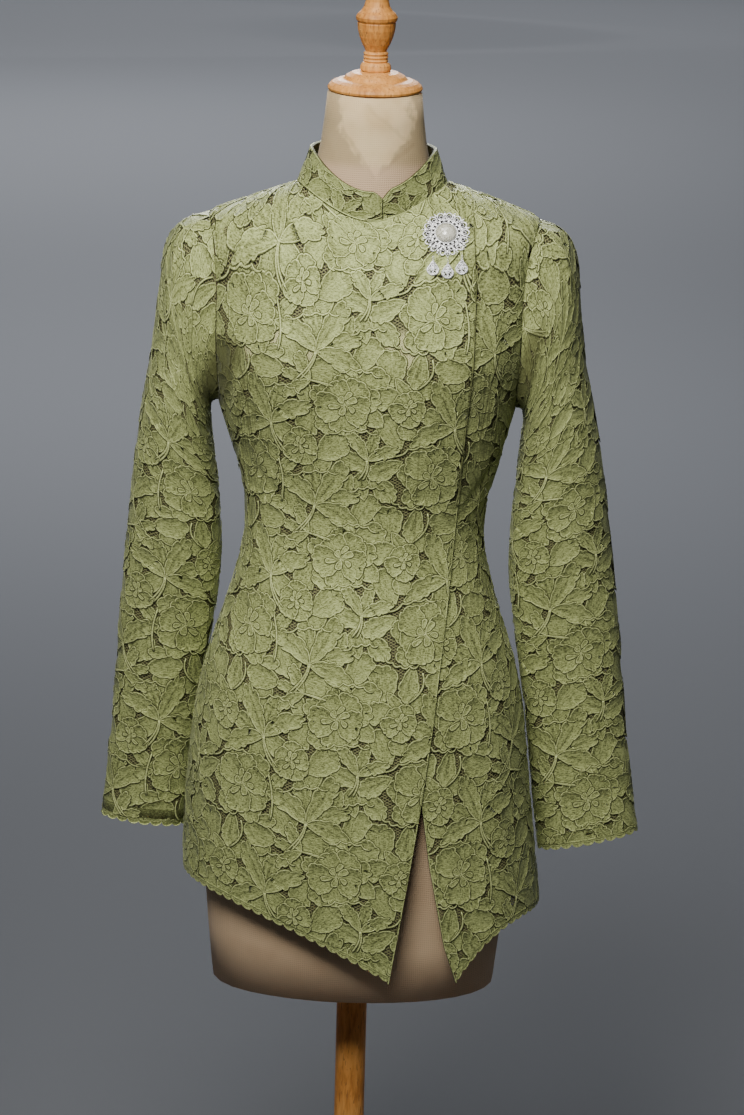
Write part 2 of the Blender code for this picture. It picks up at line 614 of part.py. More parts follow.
def build_stand(collection, wood, torso_foot):
    """The pole under the form, and its round foot."""
    bpy.ops.mesh.primitive_cylinder_add(
        vertices=32, radius=POLE_RADIUS, depth=torso_foot - BASE_HEIGHT - 2.0 * SEAM_GAP,
        location=(0.0, 0.0, (torso_foot + BASE_HEIGHT) / 2.0),
    )
    pole = bpy.context.object
    pole.name = pole.data.name = "pole"
    pole.data.materials.append(wood)
    for owner in list(pole.users_collection):
        owner.objects.unlink(pole)
    collection.objects.link(pole)
    profile = [(0.0, BASE_HEIGHT), (0.030, BASE_HEIGHT), (0.034, BASE_HEIGHT - 0.004)]
    profile += [(0.060, BASE_HEIGHT - 0.010), (BASE_RADIUS - 0.030, BASE_HEIGHT - 0.012)]
    profile += arc((BASE_RADIUS - 0.012, 0.012), 0.012, 75.0, -60.0, 5)
    profile += [(BASE_RADIUS - 0.010, 0.0), (0.0, 0.0)]
    turned("base", profile, collection, wood, steps=48)


def flat_outline(name, points, thickness, collection, look):
    """A flat plate from its outline, lying in its own XY plane, its back at z = 0."""
    curve = bpy.data.curves.new(name, "CURVE")
    curve.dimensions = "2D"
    curve.fill_mode = "BOTH"
    curve.extrude = thickness / 2.0
    spline = curve.splines.new("POLY")
    spline.points.add(len(points) - 1)
    for point, (x, y) in zip(spline.points, points):
        point.co = (x, y, 0.0, 1.0)
    spline.use_cyclic_u = True
    curve.materials.append(look)
    made = bpy.data.objects.new(name, curve)
    collection.objects.link(made)
    made.location = (0.0, 0.0, thickness / 2.0)
    return made


def cloth_clearance(point):
    """How far a point lies outside the wrap-over front on the upper chest."""
    low, high = BUST_LEVEL, NECK_LEVEL
    angle = math.atan2(point.x, CHEST_Y_CENTRE - point.y)
    for _ in range(25):
        level = (low + high) / 2.0
        if float(body_point(angle, level)[2]) < point.z:
            low = level
        else:
            high = level
    normal = Vector(body_normal(np.array(angle), np.array(level)))
    surface = Vector(body_point(angle, level)) + normal * WRAP_LIFT
    return (point - surface).dot(normal)


def brooch_frame():
    """The brooch's own axes: across, up the cloth and out from it. Its back just clears the cloth."""
    angle = math.radians(BROOCH_ANGLE)
    normal = Vector(body_normal(np.array(angle), np.array(BROOCH_LEVEL)))
    across = Vector((0.0, 0.0, 1.0)).cross(normal).normalized()
    up = normal.cross(across)
    place = Vector(body_point(angle, BROOCH_LEVEL)) + normal * WRAP_LIFT
    clear = []
    for reach in (0.0, LUG_REACH / 2.0, LUG_REACH):
        for turn in np.radians(np.arange(0.0, 360.0, 30.0)):
            spot = across * math.cos(turn) + up * math.sin(turn)
            clear.append(cloth_clearance(place + spot * reach))
    place += normal * (BROOCH_SEAT - min(clear))
    return Matrix.Translation(place) @ Matrix((across, up, normal)).transposed().to_4x4()


def build_brooch(collection, silver, pearl):
    """A round scalloped plate, a pearl on it and three drops that swing from its lower edge."""
    frame = brooch_frame()
    holder = bpy.data.objects.new("brooch_frame", None)
    holder.matrix_world = frame
    collection.objects.link(holder)
    hang = [BROOCH_TURN + DROP_SPACING * step for step in (-1, 0, 1)]
    outline = []
    for turn in np.radians(np.arange(0.0, 360.0, 2.0)):
        reach = BROOCH_RADIUS + BROOCH_SCALLOP * math.cos(BROOCH_PETALS * turn)
        for angle in hang:
            gap = (math.degrees(turn) - (270.0 + angle)) / LUG_WIDTH
            reach = max(reach, BROOCH_RADIUS + (LUG_REACH - BROOCH_RADIUS) * math.exp(-gap * gap))
        outline.append((reach * math.cos(turn), reach * math.sin(turn)))
    flat_outline("brooch_rosette", outline, BROOCH_THICKNESS, collection, silver).parent = holder
    dome = arc((0.0, 0.0), 1.0, 90.0, 0.0, 7)
    profile = [(radius * PEARL_RADIUS, height * PEARL_HEIGHT) for radius, height in dome] + [(0.0, 0.0)]
    gem = turned("brooch_pearl", profile, collection, pearl, steps=24)
    gem.location = (0.0, 0.0, BROOCH_THICKNESS + SEAM_GAP)
    gem.parent = holder
    for name, angle in zip(DROP_NAMES, hang):
        build_drop(name, math.radians(angle), frame, collection, silver)


def build_drop(name, angle, frame, collection, silver):
    """One drop, on an empty at its pivot whose X axis is the hinge. It hangs down against the cloth."""
    middle = BROOCH_THICKNESS / 2.0
    pivot = Vector((PIVOT_REACH * math.sin(angle), -PIVOT_REACH * math.cos(angle), middle))
    place = frame @ pivot
    lean = hanging_angle(place, frame)
    hinge = bpy.data.objects.new("hinge_" + name, None)
    hinge.matrix_world = Matrix.Translation(place) @ frame.to_3x3().to_4x4() @ Matrix.Rotation(lean, 4, "X")
    collection.objects.link(hinge)
    turns = np.linspace(0.0, 2.0 * math.pi, 28, endpoint=False)
    outline = []
    for turn in turns:
        width = DROP_WIDTH / 2.0 * math.sin(turn) * abs(math.sin(turn / 2.0)) ** DROP_TAPER
        width += DROP_TOP * math.sin(turn) * (1.0 + math.cos(turn)) / 2.0
        outline.append((-width, DROP_TOP - DROP_LENGTH * (1.0 - math.cos(turn)) / 2.0))
    drop = flat_outline("drop_" + name, outline, DROP_THICKNESS, collection, silver)
    drop.location = (0.0, 0.0, 0.0)
    drop.parent = hinge


def hanging_angle(place, frame):
    """The turn about the hinge that brings a drop's tip to its clearance from the cloth."""
    low, high = 0.0, math.radians(60.0)
    across = frame.to_3x3()
    for _ in range(30):
        turn = (low + high) / 2.0
        tip = Vector((0.0, DROP_TOP - DROP_LENGTH, -DROP_THICKNESS / 2.0))
        tip = place + across @ (Matrix.Rotation(turn, 3, "X") @ tip)
        if cloth_clearance(tip) > DROP_CLEARANCE:
            low = turn
        else:
            high = turn
    return low


def main():
    for old in list(bpy.data.objects):
        bpy.data.objects.remove(old, do_unlink=True)
    collection = bpy.data.collections.new("kebaya_blouse_on_dress_form")
    bpy.context.scene.collection.children.link(collection)
    lace = material("lace", LACE_COLOUR, 0.75)
    cover = material("form_cover", FORM_COLOUR, 0.9)
    wood = material("turned_wood", WOOD_COLOUR, 0.3)
    silver = material("silver", SILVER_COLOUR, 0.2, 1.0)
    pearl = material("pearl", PEARL_COLOUR, 0.25)
    build_blouse(collection, lace)
    torso_foot = build_form(collection, cover)
    build_neck_block(collection, wood)
    build_stand(collection, wood, torso_foot)
    build_brooch(collection, silver, pearl)
    bpy.context.view_layer.update()


main()
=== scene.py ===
# %% [markdown]
# # A kebaya blouse of corded lace, on a dress form
# This lesson dresses a packed CAD model. The CAD part already has every solid at its real size: the lace walls
# of the blouse, the form under it, the turned wood and the brooch. Blender's job here is the look: net ground,
# flowers and leaves with a raised cord round each, scalloped edges, varnished wood and stones that sparkle.
#
# The first cell opens the model. Each CAD node arrives as an object that sits at the origin, with its place in
# its mesh, and every piece made here keeps to the same habit.

# %% Open the packed model
import json
import math

import bmesh
import bpy
import numpy as np
from mathutils import Matrix, Vector


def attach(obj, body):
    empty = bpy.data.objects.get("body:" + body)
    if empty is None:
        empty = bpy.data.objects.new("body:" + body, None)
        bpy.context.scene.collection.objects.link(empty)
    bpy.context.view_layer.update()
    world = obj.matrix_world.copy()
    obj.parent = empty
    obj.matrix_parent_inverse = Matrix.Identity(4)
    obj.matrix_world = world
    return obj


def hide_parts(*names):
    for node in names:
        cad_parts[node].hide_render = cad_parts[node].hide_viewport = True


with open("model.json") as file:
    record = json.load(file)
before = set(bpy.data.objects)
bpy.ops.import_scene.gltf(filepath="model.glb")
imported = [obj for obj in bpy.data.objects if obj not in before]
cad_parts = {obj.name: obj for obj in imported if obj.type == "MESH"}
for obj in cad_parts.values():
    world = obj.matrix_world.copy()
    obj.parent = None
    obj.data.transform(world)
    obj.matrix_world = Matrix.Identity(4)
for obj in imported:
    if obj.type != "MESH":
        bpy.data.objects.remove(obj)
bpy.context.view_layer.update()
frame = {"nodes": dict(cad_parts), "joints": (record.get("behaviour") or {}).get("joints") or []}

GARMENT = "garment_and_form"  # the body that everything but the brooch's drops belongs to

# %% [markdown]
# ## Camera, floor and light
# A long lens from a little above chest height flattens the figure, as in a shop's catalogue. One large soft
# lamp above the front gives the bust its bright top and shaded underside, and a weak one straight above lights
# the shoulders. A pale floor that runs far back serves as the backdrop too, with its own lamps, which leave it
# darker near the stand.

# %% Camera
FRAME_HEIGHT, FOCAL_LENGTH = 1115.0, 3350.0  # in the frame's own pixels
SENSOR = 36.0  # millimetres, along the frame's height
LENS = FOCAL_LENGTH / FRAME_HEIGHT * SENSOR
CAMERA_PLACE = (0.0092, -3.4, 1.70)
LOOKS_DOWN, LEANS = 12.5, 1.5  # degrees
camera = bpy.data.objects.new("camera", bpy.data.cameras.new("camera"))
camera.data.lens = LENS
camera.data.sensor_width = SENSOR
camera.data.clip_end = 200.0
camera.matrix_world = (
    Matrix.Translation(CAMERA_PLACE)
    @ Matrix.Rotation(math.radians(90.0 - LOOKS_DOWN), 4, "X")
    @ Matrix.Rotation(math.radians(LEANS), 4, "Z")
)
bpy.context.scene.collection.objects.link(camera)
bpy.context.scene.camera = camera
print("camera lens:", round(LENS, 1), "mm")


# %% Lamps
def area_lamp(name, place, target, size, power, colour, spread=180.0):
    """A soft rectangular lamp that faces a target and spreads its light over an angle in degrees."""
    lamp = bpy.data.objects.new(name, bpy.data.lights.new(name, "AREA"))
    lamp.data.shape = "RECTANGLE"
    lamp.data.size, lamp.data.size_y = size
    lamp.data.energy = power
    lamp.data.color = colour
    lamp.data.spread = math.radians(spread)
    way = Vector(target) - Vector(place)
    lamp.matrix_world = Matrix.Translation(place) @ way.to_track_quat("-Z", "Y").to_matrix().to_4x4()
    bpy.context.scene.collection.objects.link(lamp)


WARM, COOL = (1.0, 0.985, 0.95), (0.97, 0.98, 1.0)
FLOOR_LAMPS = [  # x, y, z, size and watts, each facing straight down
    (-0.72, 6.0, 4.0, (2.0, 4.0), 184.0), (-1.68, 14.0, 5.0, (4.0, 8.0), 475.0), (0.0, 24.0, 6.0, (16.0, 12.0), 634.0),
    (-2.88, 24.0, 6.0, (5.3, 12.0), 203.0), (0.0, 38.0, 8.0, (24.0, 20.0), 1390.0),
]
area_lamp("key_lamp", (-0.45, -1.9, 2.6), (0.0, -0.1, 1.30), (1.1, 0.8), 9.9, WARM, 60.0)
area_lamp("top_lamp", (-0.30, -0.85, 2.95), (0.0, -0.1, 1.24), (1.1, 0.8), 4.4, WARM, 80.0)
area_lamp("back_lamp", (0.0, 2.6, 2.6), (0.0, 0.0, 1.2), (1.0, 0.7), 3.0, COOL, 40.0)
for x, y, z, size, power in FLOOR_LAMPS:
    area_lamp("floor_lamp", (x, y, z), (x, y, 0.0), size, power, COOL)
print("lamps:", len(bpy.data.lights))

# %% Sky and floor
world = bpy.data.worlds.new("studio")
world.use_nodes = True
sky = world.node_tree.nodes["Background"].inputs
sky["Color"].default_value, sky["Strength"].default_value = (0.62, 0.66, 0.72, 1.0), 0.085
bpy.context.scene.world = world
bpy.ops.object.select_all(action="DESELECT")
bpy.ops.mesh.primitive_plane_add(size=120.0, location=(0.0, 0.0, -0.0005))
floor = bpy.context.object
floor.name = "floor"
print("floor:", round(floor.dimensions.x), "m wide")

# %% [markdown]
# ## Helpers for materials
# Every finish here is drawn by shader nodes, so a short helper that adds a node, sets its plain values and
# links its inputs keeps the recipes readable. A value that is either a number or another node's output can be
# given under the input's own name.

# %% Adding nodes
def add_node(tree, kind, output=0, **inputs):
    """Adds a shader node, sets or links its inputs and settings, and returns one of its outputs."""
    made = tree.nodes.new("ShaderNode" + kind)
    for name, value in inputs.items():
        if hasattr(made, name) and name not in made.inputs:
            setattr(made, name, value)
            continue
        key = int(name[1:]) if name[:1] == "i" and name[1:].isdigit() else name.replace("_", " ")
        socket = made.inputs[key]
        if isinstance(value, bpy.types.NodeSocket):
            tree.links.new(value, socket)
        else:
            socket.default_value = value
    return made.outputs[output]


def math_node(tree, operation, first, second=0.0, clamp=False):
    """One sum of two values."""
    return add_node(tree, "Math", operation=operation, use_clamp=clamp, i0=first, i1=second)


def multiply(tree, first, second):
    """Two values multiplied."""
    return math_node(tree, "MULTIPLY", first, second)


def swing(tree, noise, amount):
    """A noise from 0 to 1 as a swing round 0, with the whole swing as wide as the amount."""
    return multiply(tree, math_node(tree, "SUBTRACT", noise, 0.5), amount)


def spread_over(tree, value, low, high, at_low=0.0, at_high=1.0, kind="LINEAR"):
    """A value between low and high, spread evenly or as a smooth step over another range."""
    return add_node(tree, "MapRange", interpolation_type=kind, Value=value, i1=low, i2=high, i3=at_low, i4=at_high)


def smooth_step(tree, value, none, full, most=1.0):
    """A mask that rises gently from 0, where the value is none, to its most, where the value is full."""
    return spread_over(tree, value, none, full, 0.0, most, "SMOOTHSTEP")


def strongest(tree, masks):
    """One mask that is as strong as the strongest of several."""
    found = masks[0]
    for mask in masks[1:]:
        found = math_node(tree, "MAXIMUM", found, mask)
    return found


def split(tree, place):
    """The x, y and z of a place."""
    made = tree.nodes.new("ShaderNodeSeparateXYZ")
    tree.links.new(place, made.inputs[0])
    return made.outputs


print("node helpers ready")


# %% Colours
def mix_colour(tree, factor, first, second, blend="MIX"):
    """The first colour, with the second mixed in by a factor."""
    made = tree.nodes.new("ShaderNodeMix")
    made.data_type = "RGBA"
    made.blend_type = blend
    for key, value in ((0, factor), (6, first), (7, second)):
        if isinstance(value, bpy.types.NodeSocket):
            tree.links.new(value, made.inputs[key])
        else:
            made.inputs[key].default_value = value
    return made.outputs[2]


def colour_ramp(tree, factor, stops):
    """A colour looked up by a value, from stops of a place and a colour."""
    made = tree.nodes.new("ShaderNodeValToRGB")
    tree.links.new(factor, made.inputs[0])
    ramp = made.color_ramp
    while len(ramp.elements) < len(stops):
        ramp.elements.new(1.0)
    for element, (place, colour) in zip(ramp.elements, stops):
        element.position = place
        element.color = (*colour, 1.0)
    return made.outputs[0]


print("colour helpers ready")


# %% Node groups and materials
def node_group(name, inputs, outputs):
    """An empty shader node group with named sockets: {name: (kind, default value)}."""
    group = bpy.data.node_groups.new(name, "ShaderNodeTree")
    for socket, (kind, value) in inputs.items():
        made = group.interface.new_socket(socket, in_out="INPUT", socket_type="NodeSocket" + kind)
        if value is not None:
            made.default_value = value
    for socket, kind in outputs.items():
        group.interface.new_socket(socket, in_out="OUTPUT", socket_type="NodeSocket" + kind)
    return group, group.nodes.new("NodeGroupInput").outputs, group.nodes.new("NodeGroupOutput").inputs


def use_group(tree, group, **inputs):
    """Places a node group in a material and returns its outputs."""
    made = tree.nodes.new("ShaderNodeGroup")
    made.node_tree = group
    for name, value in inputs.items():
        socket = made.inputs[name.replace("_", " ")]
        if isinstance(value, bpy.types.NodeSocket):
            tree.links.new(value, socket)
        else:
            socket.default_value = value
    return made.outputs


def new_material(name, **plain):
    """A material with its Principled shader, whose plain values are set on its own sockets."""
    material = bpy.data.materials.new(name)
    material.use_nodes = True
    tree = material.node_tree
    shader = tree.nodes["Principled BSDF"]
    for socket, value in plain.items():
        shader.inputs[socket.replace("_", " ")].default_value = value
    return material, tree, shader.inputs


floor_material, _, floor_look = new_material("pale_floor", Roughness=0.9)
floor_look["Base Color"].default_value = (0.146, 0.154, 0.171, 1.0)
floor.data.materials.append(floor_material)
print("floor material:", floor_material.name)

# %% [markdown]
# ## The blouse as smooth surfaces
# The sewing pattern is worked out as the CAD part's is: the body is a stack of rounded rings, from below the
# hem to the neck, and a smooth curve through each column of a small table gives every ring between them. A
# point of the body is an angle from the centre front and a level, which is a row of the table. The sleeve is a
# second table of rings that starts from the armhole's own loop.

# %% Body and sleeve tables
BODY = np.array([
    (0.490, 0.000, 0.000, 0.1890, 0.1400, 0.1420, 0.000, 2.20, 0.0130),  # below the hem
    (0.585, 0.000, 0.000, 0.1885, 0.1370, 0.1400, 0.000, 2.20, 0.0070),  # hem at the sides
    (0.690, 0.000, 0.000, 0.1815, 0.1300, 0.1350, 0.000, 2.20, 0.0010),  # low hip
    (0.810, 0.000, 0.000, 0.1675, 0.1200, 0.1250, 0.000, 2.20, 0.0000),  # hip
    (0.900, 0.000, 0.000, 0.1412, 0.1070, 0.1050, 0.000, 2.15, 0.0000),  # high hip
    (0.982, 0.000, 0.000, 0.1235, 0.0945, 0.0830, 0.000, 2.10, 0.0000),  # waist
    (1.050, 0.000, 0.000, 0.1345, 0.1020, 0.0900, 0.000, 2.20, 0.0020),  # under the bust
    (1.110, 0.000, 0.000, 0.1515, 0.1110, 0.0990, 0.000, 2.35, 0.0000),  # underarm
    (1.170, 0.000, 0.002, 0.1655, 0.1140, 0.1030, 0.000, 2.45, 0.0000),  # bust
    (1.232, -0.004, 0.006, 0.1715, 0.1060, 0.1000, -0.001, 2.45, 0.0000),  # upper chest
    (1.290, -0.034, 0.002, 0.1745, 0.0960, 0.0890, -0.003, 2.40, 0.0020),  # shoulder point
    (1.3110, -0.0415, 0.0035, 0.1500, 0.0850, 0.0790, -0.005, 2.30, 0.0050),  # outer shoulder
    (1.3255, -0.0400, 0.0050, 0.1120, 0.0730, 0.0690, -0.008, 2.15, 0.0050),  # inner shoulder
    (1.3370, -0.0330, 0.0060, 0.0755, 0.0620, 0.0630, -0.010, 2.00, 0.0000),  # collar seam
    (1.3530, -0.0250, 0.0070, 0.0600, 0.0570, 0.0570, -0.0135, 2.00, 0.0000),  # base of the neck
    (1.3860, -0.0120, 0.0050, 0.0522, 0.0510, 0.0510, -0.018, 2.00, 0.0000),  # middle of the neck
    (1.4292, -0.0035, 0.0035, 0.0476, 0.0478, 0.0478, -0.020, 2.00, 0.0000),  # top of the neck
])
SLEEVE = np.array([
    (0.1700, 1.3010, 0.1535, 1.1110, 0.0530, -0.003),  # armhole
    (0.1900, 1.2940, 0.1588, 1.1095, 0.0565, -0.002),
    (0.2045, 1.2760, 0.1610, 1.1055, 0.0580, 0.000),
    (0.2125, 1.2450, 0.1618, 1.0990, 0.0575, 0.002),
    (0.2170, 1.2050, 0.1614, 1.0890, 0.0560, 0.004),
    (0.2225, 1.1600, 0.1602, 1.0740, 0.0535, 0.006),  # upper arm
    (0.2315, 1.1120, 0.1578, 1.0520, 0.0505, 0.009),
    (0.2405, 1.0600, 0.1545, 1.0200, 0.0475, 0.013),
    (0.2500, 0.9850, 0.1510, 0.9600, 0.0435, 0.020),  # elbow
    (0.2588, 0.9100, 0.1550, 0.8930, 0.0395, 0.028),
    (0.2675, 0.8200, 0.1688, 0.8060, 0.0350, 0.036),  # forearm
    (0.2755, 0.7300, 0.1800, 0.7150, 0.0305, 0.041),
    (0.2872, 0.6480, 0.1900, 0.6320, 0.0270, 0.044),  # cuff
])
print("body rows:", len(BODY), "sleeve rows:", len(SLEEVE))

# %% Measures of the cut
UNDERARM, SHOULDER, NECK = 7.0, 10.4, 13.0  # rows of BODY
CUFF = len(SLEEVE) - 1.0
EDGING = 0.019  # the lace edging's width
LACE_GAP = 0.0068  # how far above a hem the flowers end, on top of the edging
WRAP_LIFT = 0.0034  # how far the right front stands off the left one
WRAP_STARTS, WRAP_SPREAD = math.radians(28.0), math.radians(22.0)  # it starts to rise here, over this width
WRAP_EDGE = [  # height and x of each front's free edge
    (0.500, 0.0335), (0.570, 0.0442), (0.694, 0.0624), (0.790, 0.0743), (0.911, 0.0854),
    (1.030, 0.0938), (1.104, 0.0990), (1.165, 0.1038), (1.243, 0.1050), (1.300, 0.1015), (1.340, 0.0985),
]
UNDER_EDGE = [
    (0.500, 0.1160), (0.528, 0.1070), (0.566, 0.0939), (0.651, 0.0764), (0.716, 0.0667),
    (0.820, 0.0500), (0.950, 0.0330), (1.120, 0.0180), (1.304, 0.0105), (1.340, 0.0105),
]
FRONT_SPREAD, BACK_SPREAD = math.radians(21.0), math.radians(18.0)  # how far an armhole reaches round
ARMHOLE_POWER = 2.5  # how square an armhole is, 2 for an ellipse
BUST_RISE, BUST_LEVEL, BUST_LEVELS = 0.009, 8.05, 0.85  # how far it stands out, its level and its reach in levels
BUST_ANGLE, BUST_WIDTH = math.radians(38.0), math.radians(20.0)
SLEEVE_POWER = 2.15  # how square a sleeve's rings are
SWING_ROW, SWING_POWER = 5.0, 1.2  # below this row the left sleeve hangs further out than the right
SWING_OUTER, SWING_INNER, SWING_DOWN, SWING_AHEAD = 0.0135, 0.005, 0.007, 0.006  # how far, at the cuff
SEAT_REACH, SEAT_RISE = 0.988, 0.993  # the sleeve's head lies just inside its armhole
SEAT_ROWS = 3.0  # rows over which the head takes the armhole's shape
HALF_TURN = math.pi
SIDE = math.pi / 2.0
print("edging:", 1000.0 * EDGING, "mm wide")


# %% Smooth curves through the tables
def bends(table):
    """Second derivatives of the natural cubic spline through each column of a table."""
    system, change = np.eye(len(table)), np.zeros_like(table)
    for i in range(1, len(table) - 1):
        system[i, i - 1:i + 2] = (1.0, 4.0, 1.0)
        change[i] = 6.0 * (table[i - 1] - 2.0 * table[i] + table[i + 1])
    return np.linalg.solve(system, change)


def along(table, bend, level):
    """The columns of a table at fractional row numbers, as an array with the columns first."""
    level = np.clip(np.asarray(level, float), 0.0, len(table) - 1.0)
    low = np.minimum(level.astype(int), len(table) - 2)
    t = (level - low)[..., None]
    s = 1.0 - t
    value = s * table[low] + t * table[low + 1]
    value += ((s ** 3 - s) * bend[low] + (t ** 3 - t) * bend[low + 1]) / 6.0
    return np.moveaxis(value, -1, 0)


BODY_BENDS, SLEEVE_BENDS = bends(BODY), bends(SLEEVE)
print("height of the top row:", along(BODY, BODY_BENDS, len(BODY) - 1.0)[0])


# %% Points of the body
def body_point(angle, level):
    """Points of the body at an angle (radians, from the centre front to the wearer's left) and a level."""
    angle, level = np.broadcast_arrays(np.asarray(angle, float), np.asarray(level, float))
    z, front_rise, back_rise, width, front, back, y_centre, power, x_centre = along(BODY, BODY_BENDS, level)
    across, ahead = np.sin(angle), np.cos(angle)
    rise, depth = np.where(ahead > 0.0, (front_rise, front), (back_rise, back))
    reach = (np.abs(across / width) ** power + np.abs(ahead / depth) ** power) ** (-1.0 / power)
    turn = (angle + HALF_TURN) % (2.0 * HALF_TURN) - HALF_TURN
    bust = BUST_RISE * np.exp(-(((level - BUST_LEVEL) / BUST_LEVELS) ** 2))
    for apex in (-BUST_ANGLE, BUST_ANGLE):
        reach = reach + bust * np.exp(-(((turn - apex) / BUST_WIDTH) ** 2))
    return np.stack([x_centre + reach * across, y_centre - reach * ahead, z + rise * ahead ** 2], axis=-1)


def level_at_height(z):
    """The level of the ring whose side is at a height."""
    levels = np.linspace(0.0, NECK, 1301)
    return np.interp(z, along(BODY, BODY_BENDS, levels)[0], levels)


def edge_angle(level, edge):
    """The angle at which a front's free edge, a list of (height, x), crosses each level."""
    level = np.asarray(level, float)
    low, high = np.zeros_like(level), np.full_like(level, SIDE)
    heights, places = zip(*edge)
    for _ in range(30):
        middle = (low + high) / 2.0
        point = body_point(middle, level)
        inside = point[..., 0] < np.interp(point[..., 2], heights, places)
        low, high = np.where(inside, middle, low), np.where(inside, high, middle)
    return high


print("bust point:", np.round(body_point(BUST_ANGLE, BUST_LEVEL), 3))

# %% [markdown]
# ## The sleeves
# A set-in sleeve is a tapering tube whose head is sewn round the armhole. It could be a curve with a bevel, but
# then its head would miss the panels. Here its rings are a table too, and the first few rows are drawn over to
# the armhole's own loop on the body, so that sleeve and panel meet all round. The left one hangs a little wider.

# %% Points of a sleeve
def signed_power(value, power):
    """A power that keeps its value's sign."""
    return np.sign(value) * np.abs(value) ** power


def armhole_reach(level):
    """How much of an armhole's full reach it has at a level: 1 in its middle and 0 beyond its ends."""
    off = np.abs((level - (SHOULDER + UNDERARM) / 2.0) / ((SHOULDER - UNDERARM) / 2.0))
    return np.clip(1.0 - off ** ARMHOLE_POWER, 0.0, 1.0) ** (1.0 / ARMHOLE_POWER)


def sleeve_point(turn, row, side):
    """Points of a sleeve. turn is 0 at its front and 90 degrees at its outside. side is 1 or -1."""
    turn, row = np.broadcast_arrays(np.asarray(turn, float), np.asarray(row, float))
    outer_x, outer_z, inner_x, inner_z, half_depth, y_centre = along(SLEEVE, SLEEVE_BENDS, row)
    hang = np.clip((row - SWING_ROW) / (CUFF - SWING_ROW), 0.0, 1.0) ** SWING_POWER * side
    outer_x, inner_x = outer_x + SWING_OUTER * hang, inner_x + SWING_INNER * hang
    inner_z, y_centre = inner_z - SWING_DOWN * hang, y_centre - SWING_AHEAD * hang
    up, out = signed_power(np.sin(turn), 2.0 / SLEEVE_POWER), signed_power(np.cos(turn), 2.0 / SLEEVE_POWER)
    x = (outer_x + inner_x) / 2.0 + (outer_x - inner_x) / 2.0 * up
    z = (outer_z + inner_z) / 2.0 + (outer_z - inner_z) / 2.0 * up
    point = np.stack([x, y_centre - half_depth * out, z], axis=-1)
    outer_x, outer_z, inner_x, inner_z, half_depth, y_centre = SLEEVE[0]
    first = np.stack([
        (outer_x + inner_x) / 2.0 + (outer_x - inner_x) / 2.0 * up, y_centre - half_depth * out,
        (outer_z + inner_z) / 2.0 + (outer_z - inner_z) / 2.0 * up,
    ], axis=-1)
    spread = np.where(np.cos(turn) >= 0.0, FRONT_SPREAD, BACK_SPREAD)
    reach = signed_power(np.cos(turn), 2.0 / ARMHOLE_POWER) * spread * SEAT_REACH
    level = (SHOULDER + UNDERARM) / 2.0
    level = level + (SHOULDER - UNDERARM) / 2.0 * signed_power(np.sin(turn), 2.0 / ARMHOLE_POWER) * SEAT_RISE
    seat = body_point(side * (SIDE - reach), level) * (side, 1.0, 1.0)
    fade = np.clip(1.0 - row / SEAT_ROWS, 0.0, 1.0)[..., None] ** 2
    return (point + (seat - first) * fade) * (side, 1.0, 1.0)


print("left cuff, front:", np.round(sleeve_point(0.0, CUFF, 1.0), 3))

# %% [markdown]
# ## Cut pieces
# Lace is laid out on the flat, so each piece of the blouse needs flat coordinates in real metres. They are
# found by measuring: across each ring from the piece's own middle line, and up that middle line. Going the
# other way, a flat place is looked up in the same table and lands on the surface, with a small height along the
# surface's normal. Soft folds are a short table too: where each starts and ends, how wide it is and how deep.

